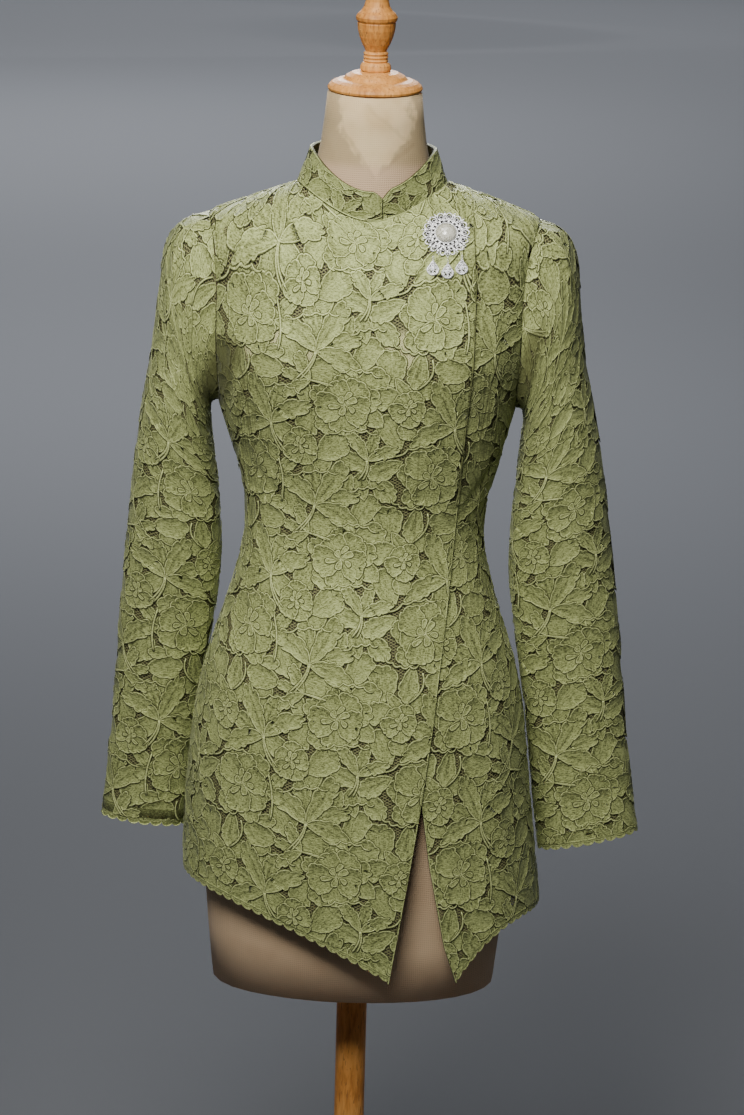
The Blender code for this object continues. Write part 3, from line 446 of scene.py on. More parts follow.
# %% A cut piece and its flat measurements
class CutPiece:
    """A piece of cloth as a surface(a, b) with flat measurements (x, y) in metres."""

    def __init__(self, surface, a_span, b_span, middle, first, last, low, lace_low, outward=1.0, folds=(),
                 dip=0.0006, steps=(161, 221)):
        self.surface, self.first, self.last, self.low, self.lace_low = surface, first, last, low, lace_low
        self.outward, self.folds, self.dip = outward, folds, dip
        self.a, self.b = np.linspace(*a_span, steps[0]), np.linspace(*b_span, steps[1])
        points = surface(self.a[None, :], self.b[:, None])
        across = np.linalg.norm(np.diff(points, axis=1), axis=2)
        self.x = np.concatenate([np.zeros((steps[1], 1)), np.cumsum(across, axis=1)], axis=1)
        column = int(np.argmin(np.abs(self.a - middle)))
        self.x -= self.x[:, column:column + 1]
        up = np.linalg.norm(np.diff(points[:, column], axis=0), axis=1)
        self.y = np.concatenate([[0.0], np.cumsum(up)])

    def measure(self, column, row):
        """Flat x at fractional column and row numbers."""
        i, j = np.minimum(column.astype(int), len(self.a) - 2), np.minimum(row.astype(int), len(self.b) - 2)
        s, t = column - i, row - j
        low = self.x[j, i] * (1.0 - s) + self.x[j, i + 1] * s
        return low * (1.0 - t) + (self.x[j + 1, i] * (1.0 - s) + self.x[j + 1, i + 1] * s) * t

    def flat(self, a, b):
        """Flat (x, y) of surface places."""
        column = np.clip((a - self.a[0]) / (self.a[1] - self.a[0]), 0.0, len(self.a) - 1.0)
        row = np.clip((b - self.b[0]) / (self.b[1] - self.b[0]), 0.0, len(self.b) - 1.0)
        return self.measure(column, row), np.interp(b, self.b, self.y)

    def place(self, x, y):
        """Surface places (a, b) of flat ones."""
        b = np.interp(y, self.y, self.b)
        row = (b - self.b[0]) / (self.b[1] - self.b[0])
        low, high = np.zeros_like(x), np.full_like(x, len(self.a) - 1.0)
        for _ in range(20):
            middle = (low + high) / 2.0
            short = self.measure(middle, row) < x
            low, high = np.where(short, middle, low), np.where(short, high, middle)
        return self.a[0] + low * (self.a[1] - self.a[0]), b

    def soft_height(self, a, b):
        """Height of the soft folds, and of the small dip along the seams."""
        x, y = self.flat(a, b)
        height = np.zeros_like(x)
        for x0, y0, x1, y1, half_width, rise in self.folds:
            length = math.dist((x0, y0), (x1, y1))
            way = ((x1 - x0) / length, (y1 - y0) / length)
            share = ((x - x0) * way[0] + (y - y0) * way[1]) / length
            inside = np.clip(share, 0.0, 1.0)
            off = np.hypot(x - x0 - way[0] * length * inside, y - y0 - way[1] * length * inside)
            height += rise * np.sin(math.pi * np.clip(share, 0.03, 0.97)) ** 0.5 * np.exp(-((off / half_width) ** 2))
        near = np.minimum(np.abs(x - self.flat(self.first(b), b)[0]), np.abs(x - self.flat(self.last(b), b)[0]))
        return height - self.dip * np.exp(-((near / 0.003) ** 2))

    def lift(self, a, b, height):
        """Points of the surface, raised along its normal."""
        step = 1e-4
        along_a = self.surface(a + step, b) - self.surface(a - step, b)
        along_b = self.surface(a, b + step) - self.surface(a, b - step)
        normal = np.cross(along_a, along_b) * self.outward
        normal /= np.maximum(np.linalg.norm(normal, axis=-1, keepdims=True), 1e-12)
        return self.surface(a, b) + normal * (height + self.soft_height(a, b))[..., None]

    def area(self):
        """Area of the piece in square metres, inside its edges."""
        a, b = np.meshgrid(self.a, self.b)
        inside = (a >= self.first(b)) & (a <= self.last(b)) & (b >= self.low(a))
        points = self.surface(a, b)
        cell = np.cross(points[:-1, 1:] - points[:-1, :-1], points[1:, :-1] - points[:-1, :-1])
        return float((np.linalg.norm(cell, axis=-1) * inside[:-1, :-1]).sum())


print("a cut piece can:", [name for name in vars(CutPiece) if name[0] != "_"])

# %% [markdown]
# ## The pieces of the blouse
# The right front runs from the right side seam to the wrap-over edge, the left front lies under it, and the
# back is one piece from side seam to side seam. Each hem is a height that falls from the side seam to the
# front's point. The wrap-over front rises a few millimetres where it lies on the other one. A level has to be
# found from a height here, which a few rounds of guessing and correcting do.

# %% Hems
def hem_level(height):
    """A hem's level below each angle, from the hem's height below a point."""
    def level(angle):
        found = np.full(np.shape(angle), 1.0)
        for _ in range(6):
            found = level_at_height(height(body_point(angle, found)))
        return found
    return level


def front_hem(sign, edge, side_height, drop, power):
    """A front's hem height below a point: level at the side seam, then ever steeper towards the free edge."""
    edge_x = float(np.interp(side_height - drop, *zip(*edge)))
    side_x = sign * BODY[1, 3]

    def height(point):
        return side_height - drop * np.clip((point[..., 0] - side_x) / (edge_x - side_x), 0.0, 1.0) ** power
    return height


RIGHT_SIDE_HEM, LEFT_SIDE_HEM = 0.612, 0.583  # the hem's height at each side seam
RIGHT_DROP, LEFT_DROP = 0.083, 0.056  # from there to each front's point
right_hem = front_hem(-1.0, WRAP_EDGE, RIGHT_SIDE_HEM, RIGHT_DROP, 1.6)
left_hem = front_hem(1.0, UNDER_EDGE, LEFT_SIDE_HEM, LEFT_DROP, 2.2)


def back_hem(point):
    """The back's hem height, level with both fronts at their side seams."""
    return RIGHT_SIDE_HEM - (RIGHT_SIDE_HEM - LEFT_SIDE_HEM) * (point[..., 0] / BODY[1, 3] + 1.0) / 2.0


def above(height, gap=EDGING):
    """The level a little above a hem. The edging is sewn on its own width above, and the flowers reach lower."""
    return hem_level(lambda point: height(point) + gap)


print("front hem points at", round(RIGHT_SIDE_HEM - RIGHT_DROP, 3), "and", round(LEFT_SIDE_HEM - LEFT_DROP, 3), "m")

# %% Edges of the panels
levels = np.linspace(0.0, NECK, 521)
wrap_angles, under_angles = edge_angle(levels, WRAP_EDGE), edge_angle(levels, UNDER_EDGE)


def wrap_edge(level):
    """The angle of the right front's free edge."""
    return np.interp(level, levels, wrap_angles)


def under_edge(level):
    """The angle of the left front's free edge, which lies under the other front."""
    return np.interp(level, levels, under_angles)


def right_side(level):
    """The right front's side seam, which turns forward round the armhole."""
    return -SIDE + FRONT_SPREAD * armhole_reach(level)


def left_side(level):
    """The left front's side seam and armhole."""
    return SIDE - FRONT_SPREAD * armhole_reach(level)


def back_left(level):
    """The back's left side seam and armhole."""
    return SIDE + BACK_SPREAD * armhole_reach(level)


def back_right(level):
    """The back's right side seam and armhole."""
    return 3.0 * SIDE - BACK_SPREAD * armhole_reach(level)


print("wrap edge at the bust:", round(math.degrees(float(wrap_edge(BUST_LEVEL))), 1), "degrees")


# %% The wrap-over's surface
def normal_of(surface, a, b):
    """A surface's normals, from small steps along it."""
    step = 1e-4
    normal = np.cross(surface(a + step, b) - surface(a - step, b), surface(a, b + step) - surface(a, b - step))
    return normal / np.linalg.norm(normal, axis=-1, keepdims=True)


def wrap_surface(angle, level):
    """The body, lifted where the right front lies on the left one."""
    angle, level = np.broadcast_arrays(angle, level)
    part = np.clip((angle - under_edge(level) + WRAP_STARTS) / WRAP_SPREAD, 0.0, 1.0)
    lift = WRAP_LIFT * part * part * (3.0 - 2.0 * part)
    return body_point(angle, level) + normal_of(body_point, angle, level) * lift[..., None]


print("wrap-over at the waist:", np.round(wrap_surface(0.3, 5.0), 3))

# %% [markdown]
# ## Soft folds
# Worn cloth is never smooth: it drags at the armpits, breaks at the elbow and hangs in soft pleats at the hem. A
# cloth simulation could find such folds, but not these ones, and it would be slow on lace. So each fold is given
# as a line on the flat piece, and it fades out at both ends and to both sides.

# %% Where the folds lie
# Each fold is in its piece's own flat metres: x0, y0, x1, y1, half width, rise.
RIGHT_FRONT_FOLDS = [
    (-0.135, 0.545, -0.085, 0.500, 0.006, -0.0030), (-0.128, 0.535, -0.112, 0.420, 0.003, -0.0016),
    (-0.150, 0.590, -0.120, 0.640, 0.008, 0.0022), (-0.132, 0.600, -0.110, 0.665, 0.006, -0.0016),
    (-0.060, 0.430, -0.064, 0.350, 0.0016, -0.0012), (-0.064, 0.330, -0.068, 0.250, 0.0016, -0.0010),
    (0.010, 0.110, 0.030, 0.260, 0.020, 0.0020), (-0.070, 0.060, -0.060, 0.200, 0.022, 0.0022),
    (-0.130, 0.080, -0.115, 0.240, 0.014, -0.0018), (0.060, 0.380, 0.075, 0.470, 0.012, -0.0018),
]
LEFT_FRONT_FOLDS = [
    (0.150, 0.545, 0.110, 0.500, 0.006, -0.0030), (0.142, 0.590, 0.122, 0.650, 0.007, 0.0020),
    (0.120, 0.080, 0.105, 0.230, 0.016, -0.0018), (0.165, 0.100, 0.150, 0.260, 0.012, 0.0016),
    (0.110, 0.380, 0.105, 0.300, 0.0016, -0.0011),
]
BACK_FOLDS = [
    (-0.110, 0.520, -0.060, 0.480, 0.008, -0.0024), (0.112, 0.515, 0.070, 0.470, 0.008, -0.0024),
    (-0.050, 0.090, -0.040, 0.230, 0.020, 0.0020), (0.045, 0.070, 0.050, 0.210, 0.018, 0.0020),
    (-0.070, 0.290, 0.060, 0.282, 0.007, -0.0014), (-0.060, 0.318, 0.050, 0.325, 0.006, -0.0012),
    (-0.062, 0.420, -0.060, 0.250, 0.0016, -0.0010), (0.062, 0.420, 0.060, 0.250, 0.0016, -0.0010),
]
SLEEVE_FOLDS = [
    (-0.100, 0.579, -0.055, 0.519, 0.007, -0.0022), (0.060, 0.604, 0.030, 0.674, 0.006, 0.0022),
    (-0.055, 0.619, -0.030, 0.684, 0.006, 0.0020), (0.000, 0.659, 0.004, 0.599, 0.007, 0.0016),
    (-0.060, 0.349, -0.010, 0.319, 0.010, -0.0018), (-0.065, 0.309, -0.020, 0.281, 0.009, -0.0015),
    (0.030, 0.269, 0.070, 0.234, 0.010, -0.0014), (-0.030, 0.199, 0.020, 0.169, 0.012, -0.0013),
    (0.045, 0.439, 0.075, 0.399, 0.010, -0.0015), (-0.020, 0.099, 0.015, 0.059, 0.012, 0.0014),
]
print("folds:", sum(map(len, (RIGHT_FRONT_FOLDS, LEFT_FRONT_FOLDS, BACK_FOLDS, SLEEVE_FOLDS))))

# %% Panels and sleeves
right_front = CutPiece(wrap_surface, (-SIDE - 0.02, SIDE + 0.02), (0.30, NECK), 0.0, right_side, wrap_edge,
                       above(right_hem), above(right_hem, LACE_GAP), folds=RIGHT_FRONT_FOLDS)
left_front = CutPiece(body_point, (0.02, SIDE + 0.02), (0.30, NECK), 0.02, under_edge, left_side,
                      above(left_hem), above(left_hem, LACE_GAP), folds=LEFT_FRONT_FOLDS)
back = CutPiece(body_point, (SIDE - 0.02, 3.0 * SIDE + 0.02), (0.30, NECK), HALF_TURN, back_left, back_right,
                above(back_hem), above(back_hem, LACE_GAP), folds=BACK_FOLDS)
CUFF_SEAM = CUFF - EDGING / math.dist(SLEEVE[-1, :2], SLEEVE[-2, :2])


def constant(value):
    """An edge that stays at one value."""
    return lambda other: np.full(np.shape(other), float(value))


def sleeve_piece(side, low_row):
    """A whole sleeve, cut open along the underarm. b runs up the sleeve, from minus the row at its lower end."""
    def surface(turn, b):
        return sleeve_point(turn, -b, side)
    lace_row = CUFF + (low_row - CUFF) * LACE_GAP / EDGING
    return CutPiece(surface, (-SIDE, 3.0 * SIDE), (-CUFF, 0.0), SIDE, constant(-SIDE), constant(3.0 * SIDE),
                    constant(-low_row), constant(-lace_row), outward=side, folds=SLEEVE_FOLDS)


right_sleeve, left_sleeve = sleeve_piece(-1.0, CUFF_SEAM), sleeve_piece(1.0, CUFF_SEAM)
print("sleeve length:", round(float(right_sleeve.y[-1]), 3), "m")

# %% [markdown]
# ## The collar
# A mandarin collar is one stiff band that stands on the neckline, and its rounded ends meet at the front with a
# small notch. Its lower edge is the body's top ring and its upper edge is a ring of its own, so that straight
# lines between the two make the whole band, and it meets the panels without a gap.

# %% Collar
COLLAR_TOP = (1.3730, -0.0385, 0.0080, 0.0630, 0.0635, 0.0600, -0.0135)  # as the columns of BODY
COLLAR_RADIUS = 0.0625
COLLAR_START = math.asin(0.0105 / COLLAR_RADIUS)  # its ends meet a little to the left of the centre front
COLLAR_GAP = 0.00015 / COLLAR_RADIUS
COLLAR_EASE = 0.11  # draws the columns towards its two ends
COLLAR_SEAM = 0.0008  # its lower edge stands this far up from the neckline
NOTCH_DEPTH, NOTCH_WIDTH = 0.0085, 0.010


def collar_point(share, rise):
    """Points of the collar: share runs round it from one front end to the other, rise from 0 to 1 up it."""
    share, rise = np.broadcast_arrays(np.asarray(share, float), np.asarray(rise, float))
    share = np.clip(share, 0.0, 1.0)
    eased = share - COLLAR_EASE * np.sin(2.0 * math.pi * share)
    angle = COLLAR_START + COLLAR_GAP + eased * 2.0 * (HALF_TURN - COLLAR_GAP)
    low = body_point(angle, NECK)
    z, front_rise, back_rise, width, front, rear, y_centre = COLLAR_TOP
    across, ahead = np.sin(angle), np.cos(angle)
    lift, depth = np.where(ahead > 0.0, front_rise, back_rise), np.where(ahead > 0.0, front, rear)
    reach = ((across / width) ** 2 + (ahead / depth) ** 2) ** -0.5
    top = np.stack([reach * across, y_centre - reach * ahead, z + lift * ahead ** 2], axis=-1)
    from_end = np.minimum(eased, 1.0 - eased) * 2.0 * math.pi * COLLAR_RADIUS
    top[..., 2] -= NOTCH_DEPTH * np.clip(1.0 - from_end / NOTCH_WIDTH, 0.0, 1.0) ** 1.5
    stand = np.linalg.norm(top - low, axis=-1, keepdims=True)
    low = low + (top - low) * COLLAR_SEAM / stand
    return low + (top - low) * rise[..., None]


collar = CutPiece(collar_point, (0.0, 1.0), (0.0, 1.0), 0.5, constant(0.0), constant(1.0), constant(0.0),
                  constant(0.0), dip=0.0)
pieces = {
    "right_front": right_front, "left_front": left_front, "back": back,
    "right_sleeve": right_sleeve, "left_sleeve": left_sleeve, "collar": collar,
}
for name, piece in pieces.items():
    print(name, "flat about", np.round([np.ptp(piece.x), piece.y[-1], piece.area()], 3))

# %% [markdown]
# ## The net ground
# Behind the flowers lies a fine net. Each piece's ground is an open grid on its surface, with rows from the hem
# up that follow the armhole, and a narrow turned strip at each free edge so that it has a thickness there. The
# net's threads are drawn by the material, which leaves real holes between them.

# %% Mesh helpers
def grid_object(name, points, cut, closed=False, flip=False):
    """A smooth cloth grid of rows and columns with its flat places as the UV map "cut"."""
    rows, columns = points.shape[:2]
    step = columns if closed else columns - 1
    faces = []
    for i in range(rows - 1):
        for j in range(step):
            k = (j + 1) % columns
            faces.append((i * columns + j, i * columns + k, (i + 1) * columns + k, (i + 1) * columns + j))
    if flip:
        faces = [face[::-1] for face in faces]
    mesh = bpy.data.meshes.new(name)
    mesh.from_pydata(points.reshape(-1, 3).tolist(), [], faces)
    add_map(mesh, "cut", cut.reshape(-1, 2))
    mesh.shade_smooth()
    made = bpy.data.objects.new(name, mesh)
    bpy.context.scene.collection.objects.link(made)
    return made


def add_map(mesh, name, places):
    """A UV map from one place for each vertex."""
    vertex = np.zeros(len(mesh.loops), dtype=np.int32)
    mesh.loops.foreach_get("vertex_index", vertex)
    mesh.uv_layers.new(name=name).data.foreach_set("uv", places[vertex].ravel().astype(np.float32))


def add_tones(mesh, tones):
    """The tone of each vertex, which the lace's material reads."""
    mesh.attributes.new("tone", "FLOAT", "POINT").data.foreach_set("value", tones.astype(np.float32))


print("mesh helpers ready")


# %% Ground meshes
def ground_rows(piece, columns, low_rows, armhole_rows, top_rows):
    """Surface places of a panel's ground, rows from the hem up."""
    share = np.linspace(0.0, 1.0, columns)
    bottom = np.full(columns, 1.0)
    for _ in range(6):
        bottom = piece.low(piece.first(bottom) * (1.0 - share) + piece.last(bottom) * share)
    rows = [bottom * (1.0 - t) + UNDERARM * t for t in np.linspace(0.0, 1.0, low_rows, endpoint=False)]
    turns = np.radians(np.linspace(-90.0, 90.0, armhole_rows))
    middle, half = (SHOULDER + UNDERARM) / 2.0, (SHOULDER - UNDERARM) / 2.0
    rows += [np.full(columns, middle + half * r) for r in signed_power(np.sin(turns), 2.0 / ARMHOLE_POWER)]
    rows += [np.full(columns, level) for level in np.linspace(SHOULDER, NECK, top_rows)[1:]]
    b = np.array(rows)
    a = piece.first(b) * (1.0 - share) + piece.last(b) * share
    return a, b


def with_turned_edges(piece, a, b, height, free_first, free_last):
    """Ground points, with one more column turned in at each free edge."""
    points, flat = piece.lift(a, b, np.full(a.shape, height)), np.stack(piece.flat(a, b), axis=-1)
    turned = piece.lift(a, b, np.full(a.shape, height - 0.0012))
    if free_first:
        points, flat = np.concatenate([turned[:, :1], points], axis=1), np.concatenate([flat[:, :1], flat], axis=1)
    if free_last:
        points, flat = np.concatenate([points, turned[:, -1:]], axis=1), np.concatenate([flat, flat[:, -1:]], axis=1)
    return points, flat


GROUND_DEPTH = -0.0008  # the net's height on the piece's surface
grounds = {}
for name, columns, free in (("right_front", 64, (False, True)), ("left_front", 34, (True, False)),
                            ("back", 60, (False, False))):
    a, b = ground_rows(pieces[name], columns, 70, 44, 18)
    points, flat = with_turned_edges(pieces[name], a, b, GROUND_DEPTH, *free)
    grounds[name] = grid_object(name + "_net", points, flat)
for name in ("right_sleeve", "left_sleeve"):
    piece = pieces[name]
    a, b = np.meshgrid(np.linspace(-SIDE, 3.0 * SIDE, 61), np.linspace(-CUFF_SEAM, 0.0, 110))
    points, flat = piece.lift(a, b, np.full(a.shape, GROUND_DEPTH)), np.stack(piece.flat(a, b), axis=-1)
    if name == "right_sleeve":
        points, flat = points[:, ::-1], flat[:, ::-1]
    grounds[name] = grid_object(name + "_net", points, flat)
a, b = np.meshgrid(np.linspace(0.0, 1.0, 121), np.linspace(0.0, 1.0, 10))
points, flat = with_turned_edges(collar, a, b, GROUND_DEPTH, True, True)
grounds["collar"] = grid_object("collar_net", points, flat)
for name, net in grounds.items():
    print(net.name, len(net.data.polygons), "faces")

# %% [markdown]
# ## Flowers and leaves of corded lace
# The motifs are ordinary ones: round petals with lobed ends, broad leaves on a stem, and small fillers. Each is
# one outline drawn on the flat, in millimetres. Rings follow it inwards towards the shape's own spine: a foot
# painted dark as the shade beside the cord, a raised cord painted light, partly its paler thread and partly a
# painted highlight, a groove painted darker as shade, and a gently padded field. Every motif is built from the
# one table of rings, so a change there changes the whole lace.

# %% Rings of the motifs, in millimetres
# Its tones are painted light and shade: the dark foot is painted shade beside the cord, the groove's lower tone is
# painted shade, and the cord's light tone is partly its paler thread and partly a painted highlight.
RINGS = [  # inset from the outline, height above the piece, tone from dark 0 to light 1
    (-1.25, 0.36, -0.62),
    (0.02, 0.62, 0.66),
    (0.42, 0.80, 1.00),
    (0.90, 0.40, 0.42),
]
# A stem's first ring is its foot, painted dark as shade beside the cord.
STEM_RINGS = [(-0.90, 0.36, -0.60), (0.14, 0.72, 0.84)]
PETAL_MIDDLE = [(0.78, 0.44, 0.52)]  # share of the way to the spine, height, tone
# A leaf's vein groove is painted darker: painted shade.
LEAF_MIDDLE = [(0.70, 0.46, 0.55), (0.94, 0.34, 0.36)]  # a vein's groove
KINDS = {"petal": (RINGS, PETAL_MIDDLE), "leaf": (RINGS, LEAF_MIDDLE), "stem": (STEM_RINGS, [])}
RANK_RISE = 0.34  # each motif lies this much above those it overlaps
print("rings:", {kind: len(rings) + len(middle) for kind, (rings, middle) in KINDS.items()})

# %% Petals and leaves
LOBE = np.array([0.0, 0.17, 0.38, 0.62, 0.83])  # where a lobe's five outline points lie, cusp first


def petal(length, width, lobes, depth, bend=0.0, sides=4):
    """A petal or leaf from its base at (0, 0) along +y, with lobes that meet in sharp cusps round its far end.

    Returns its outline and the spine point beside each outline point.
    """
    turn = np.linspace(0.0, 2.0 * math.pi, 361)
    far = (1.0 - np.cos(turn)) / 2.0
    x, y = width / 2.0 * np.sin(turn) * far ** 0.3, length * far
    run = np.concatenate([[0.0], np.cumsum(np.hypot(np.diff(x), np.diff(y)))])
    run /= run[-1]
    start = 0.20 if lobes > 4 else 0.27
    share = (np.arange(lobes)[:, None] + LOBE).ravel() / lobes
    share = share + 0.045 * np.sin(4.0 * math.pi * share + 9.0 * bend + length)
    near = np.linspace(0.0, start, sides, endpoint=False)
    place = np.concatenate([near, start + (1.0 - 2.0 * start) * share, [1.0 - start], (1.0 - near[1:])[::-1]])
    bulge = np.zeros(len(place))
    uneven = 1.0 + 0.28 * np.sin(2.4 * np.arange(lobes) + length)
    bulge[sides:sides + lobes * 5] = (uneven[:, None] * (np.sin(math.pi * LOBE) ** 0.75 - 0.45)).ravel()
    bulge[sides + lobes * 5] = -0.45
    x, y = np.interp(place, run, x), np.interp(place, run, y)
    middle = 0.55 * length
    grow = 1.0 + depth * bulge
    x, y = x * grow, middle + (y - middle) * grow
    core = np.clip(y, 0.20 * length, 0.74 * length)
    outline = np.stack([x + bend * length * (y / length) ** 2, y], axis=1)
    spine = np.stack([bend * length * (core / length) ** 2, core], axis=1)
    return outline, spine


print("points of a petal with 4 lobes:", len(petal(30.0, 28.0, 4, 0.15)[0]))


# %% Stems and cords
def stem(points, width, count=20, waves=0, ripple=0.0):
    """A narrow stem along a bent line of three points, or a cord that ripples along it in small scallops."""
    points = np.array(points, float)
    share = np.linspace(0.0, 1.0, count // 2)[:, None]
    line = (1 - share) ** 2 * points[0] + 2 * share * (1 - share) * points[1] + share ** 2 * points[2]
    way = np.gradient(line, axis=0)
    across = np.stack([way[:, 1], -way[:, 0]], axis=1) / np.linalg.norm(way, axis=1, keepdims=True)
    line = line + across * ripple * (np.abs(np.sin(math.pi * waves * share ** 1.15)) ** 0.7 - 0.5)
    across *= width / 2.0 * (0.5 + 0.5 * np.sin(math.pi * (0.12 + 0.76 * share)))
    return np.concatenate([line + across, (line - across)[::-1]]), np.concatenate([line, line[::-1]])


def turned_to(shape, x, y, degrees):
    """A shape moved so that its base is at (x, y), turned clockwise from +y."""
    c, s = math.cos(math.radians(degrees)), math.sin(math.radians(degrees))
    turn = np.array([(c, s), (-s, c)])
    return tuple(part @ turn.T + (x, y) for part in shape)


print("points of a stem:", len(stem([(0.0, 0.0), (5.0, 5.0), (0.0, 10.0)], 1.4)[0]))

# %% [markdown]
# ## One repeat of the lace
# Machine lace repeats, so the layout is drawn once, on a tile that joins itself at every side. Flowers are rows
# of petals round a centre, and sprays are leaves that fan from one base on a double stem. Then the tile is
# filled: the widest bare place gets a lobed filler that tucks under its neighbours, again and again, until only
# small windows of net are left.

# %% Flowers and sprays
TILE = (188.0, 163.0)  # millimetres across and up
motifs = []


def add_petal(x, y, degrees, length, width, lobes, depth, rank, bend=0.0, kind="petal", sides=4):
    """Adds a petal or leaf to the tile. Motifs of a higher rank lie on top."""
    shape = petal(length, width, lobes, depth, bend, sides)
    motifs.append((*turned_to(shape, x, y, degrees), shape, rank + 0.001 * len(motifs), kind))


def add_cord(points, width, rank, count=20, waves=0, ripple=0.0):
    """Adds a stem or cord to the tile."""
    shape = stem(points, width, count, waves, ripple)
    motifs.append((*shape, tuple(part - shape[0][0] for part in shape), rank + 0.001 * len(motifs), "stem"))


def flower(x, y, radius, petals, turn, back=True):
    """A flower: a wide back row, a front row of petals in turn above and below, and an uneven eye."""
    step = 360.0 / petals
    for i in range(petals if back else 0):
        length = radius * (1.24, 1.12, 1.30)[i % 3]
        add_petal(x, y, turn + (i + 0.5) * step, length, radius * (1.05, 0.9)[i % 2], 4, 0.16, 0.6 + 0.3 * (i % 2))
    for i in range(petals):
        size = radius * (1.0, 0.88, 1.08)[i % 3]
        wide = radius * 5.9 / petals * (1.0, 1.16)[i % 2]
        add_petal(x, y, turn + i * step, size, wide, 3 + i % 2, 0.15, 1.6 + 0.5 * (i % 2), 0.07 * (i % 2))
    for i in range(6):
        angle = math.radians(turn + 20.0 + i * 60.0)
        reach = radius * (0.05, 0.16)[i % 2]
        add_petal(x + reach * math.sin(angle), y + reach * math.cos(angle), turn + 20.0 + i * 67.0,
                  radius * (0.42, 0.27, 0.36)[i % 3], radius * (0.27, 0.20)[i % 2], 2, 0.14, 2.6 + 0.3 * (i % 2),
                  0.1, "petal", 2)


def spray(x, y, direction, length, leaves, fan, stem_turn):
    """Leaves that fan from one base, the outer ones wider, on a curved double stem."""
    for i in range(leaves):
        off = i - (leaves - 1) / 2.0
        size = length * (1.0 - 0.09 * abs(off)) * (1.0, 0.88)[i % 2]
        add_petal(x, y, direction + fan * off, size, size * (0.42 + 0.06 * abs(off)), 6 + i % 2, 0.25,
                  1.4 + 0.5 * ((i + 1) % 2), 0.16 * off, "leaf")
    angle = math.radians(direction)
    back = (x - 0.62 * length * math.sin(angle), y - 0.62 * length * math.cos(angle))
    side = (x - 0.3 * length * math.sin(angle) + stem_turn, y - 0.3 * length * math.cos(angle))
    for gap in (-1.1, 1.1):
        add_cord([(x + gap * 0.5, y), (side[0] + gap, side[1]), (back[0] + gap * 2.2, back[1])], 1.3, 2.3)


print("motif kinds:", list(KINDS))

# %% The layout of the tile
flower(46.0, 38.0, 31.0, 6, 12.0)
flower(146.0, 114.0, 29.0, 5, 40.0)
flower(100.0, 68.0, 20.0, 5, 5.0, back=False)
flower(22.0, 112.0, 19.0, 5, 30.0, back=False)
spray(116.0, 4.0, 32.0, 56.0, 5, 32.0, 7.0)
spray(70.0, 90.0, -24.0, 54.0, 5, 33.0, -7.0)
spray(168.0, 56.0, 18.0, 36.0, 3, 40.0, 5.0)
spray(112.0, 138.0, -74.0, 34.0, 3, 38.0, 4.0)
add_cord([(76.0, 52.0), (84.0, 24.0), (78.0, 4.0)], 1.4, 2.2)
add_cord([(30.0, 132.0), (50.0, 144.0), (44.0, 162.0)], 1.4, 2.2)
print("drawn motifs:", len(motifs))


# %% Filling the tile
def inside_outline(points, outline):
    """Which points lie inside a closed outline, by counting the edges to their right."""
    x, y = points[:, :1], points[:, 1:]
    x0, y0 = outline[:, 0], outline[:, 1]
    x1, y1 = np.roll(x0, -1), np.roll(y0, -1)
    crosses = (y0 <= y) != (y1 <= y)
    rise = np.where(y1 == y0, 1.0, y1 - y0)
    return (crosses & (x < x0 + (y - y0) / rise * (x1 - x0))).sum(axis=1) % 2 == 1


def copies(outline):
    """A tile's outline and its copies in the tiles round it."""
    return [outline + (i * TILE[0], j * TILE[1]) for i in (-1, 0, 1) for j in (-1, 0, 1)]


spots = np.stack(np.meshgrid(np.arange(1.0, TILE[0], 2.0), np.arange(1.0, TILE[1], 2.0)), axis=-1).reshape(-1, 2)
bare = np.full(len(spots), 1e9)


def cover(outline):
    """Lowers each spot's distance to the nearest motif, 0 inside one."""
    for copy in copies(outline):
        if (copy.max(axis=0) < -25.0).any() or (copy.min(axis=0) > np.add(TILE, 25.0)).any():
            continue
        gaps = np.sqrt(((spots[:, None] - copy[None]) ** 2).sum(axis=-1)).min(axis=1)
        np.minimum(bare, np.where(inside_outline(spots, copy), 0.0, gaps), out=bare)


for outline, *_ in motifs:
    cover(outline)
WINDOW = 4.9  # half width of the smallest bare place that gets a filler
MOST_FILLERS = 60
GOLDEN_ANGLE = 137.5  # degrees, so that no two fillers in a row point the same way
drawn = len(motifs)
while bare.max() > WINDOW and len(motifs) < drawn + MOST_FILLERS:
    spot = int(np.argmax(bare))
    (x, y), size = spots[spot], min(7.0 + bare[spot] * 3.2, 38.0)
    number = len(motifs) - drawn
    turn = (number * GOLDEN_ANGLE) % 360.0
    away = math.radians(turn)
    base = (x - size / 2.0 * math.sin(away), y - size / 2.0 * math.cos(away))
    wide, lobes = ((0.95, 4), (0.62, 5), (0.84, 3))[number % 3]
    add_petal(*base, turn, size, size * wide, lobes, 0.17, 0.3 * (number % 4) - 0.9, 0.1 * (number % 3 - 1),
              "leaf" if number % 3 == 1 else "petal", 3)
    cover(motifs[-1][0])
print("fillers:", len(motifs) - drawn, "share of net:", round(float((bare > 0.0).mean()), 3))

# %% Cords that ripple across the petals
RIPPLES = [  # from, over and to, in millimetres
    ((8.0, 60.0), (30.0, 78.0), (58.0, 70.0)), ((88.0, 34.0), (112.0, 46.0), (140.0, 40.0)),
    ((62.0, 128.0), (84.0, 140.0), (104.0, 122.0)), ((130.0, 82.0), (152.0, 92.0), (180.0, 84.0)),
    ((4.0, 16.0), (16.0, 2.0), (40.0, 6.0)), ((150.0, 20.0), (166.0, 32.0), (186.0, 26.0)),
    ((140.0, 146.0), (158.0, 156.0), (182.0, 142.0)),
]
for points in RIPPLES:
    add_cord(points, 1.2, 2.4, 48, 4, 3.0)
print("rippled cords:", len(RIPPLES))

# %% [markdown]
# ## From motifs to meshes
# A motif's rings become bands of faces, closed across its spine. Faces that lie wholly under a higher motif are
# left out, because nothing can see them. The tile is then repeated over each cut piece's flat shape, cropped at
# its edges and lifted on to its surface.

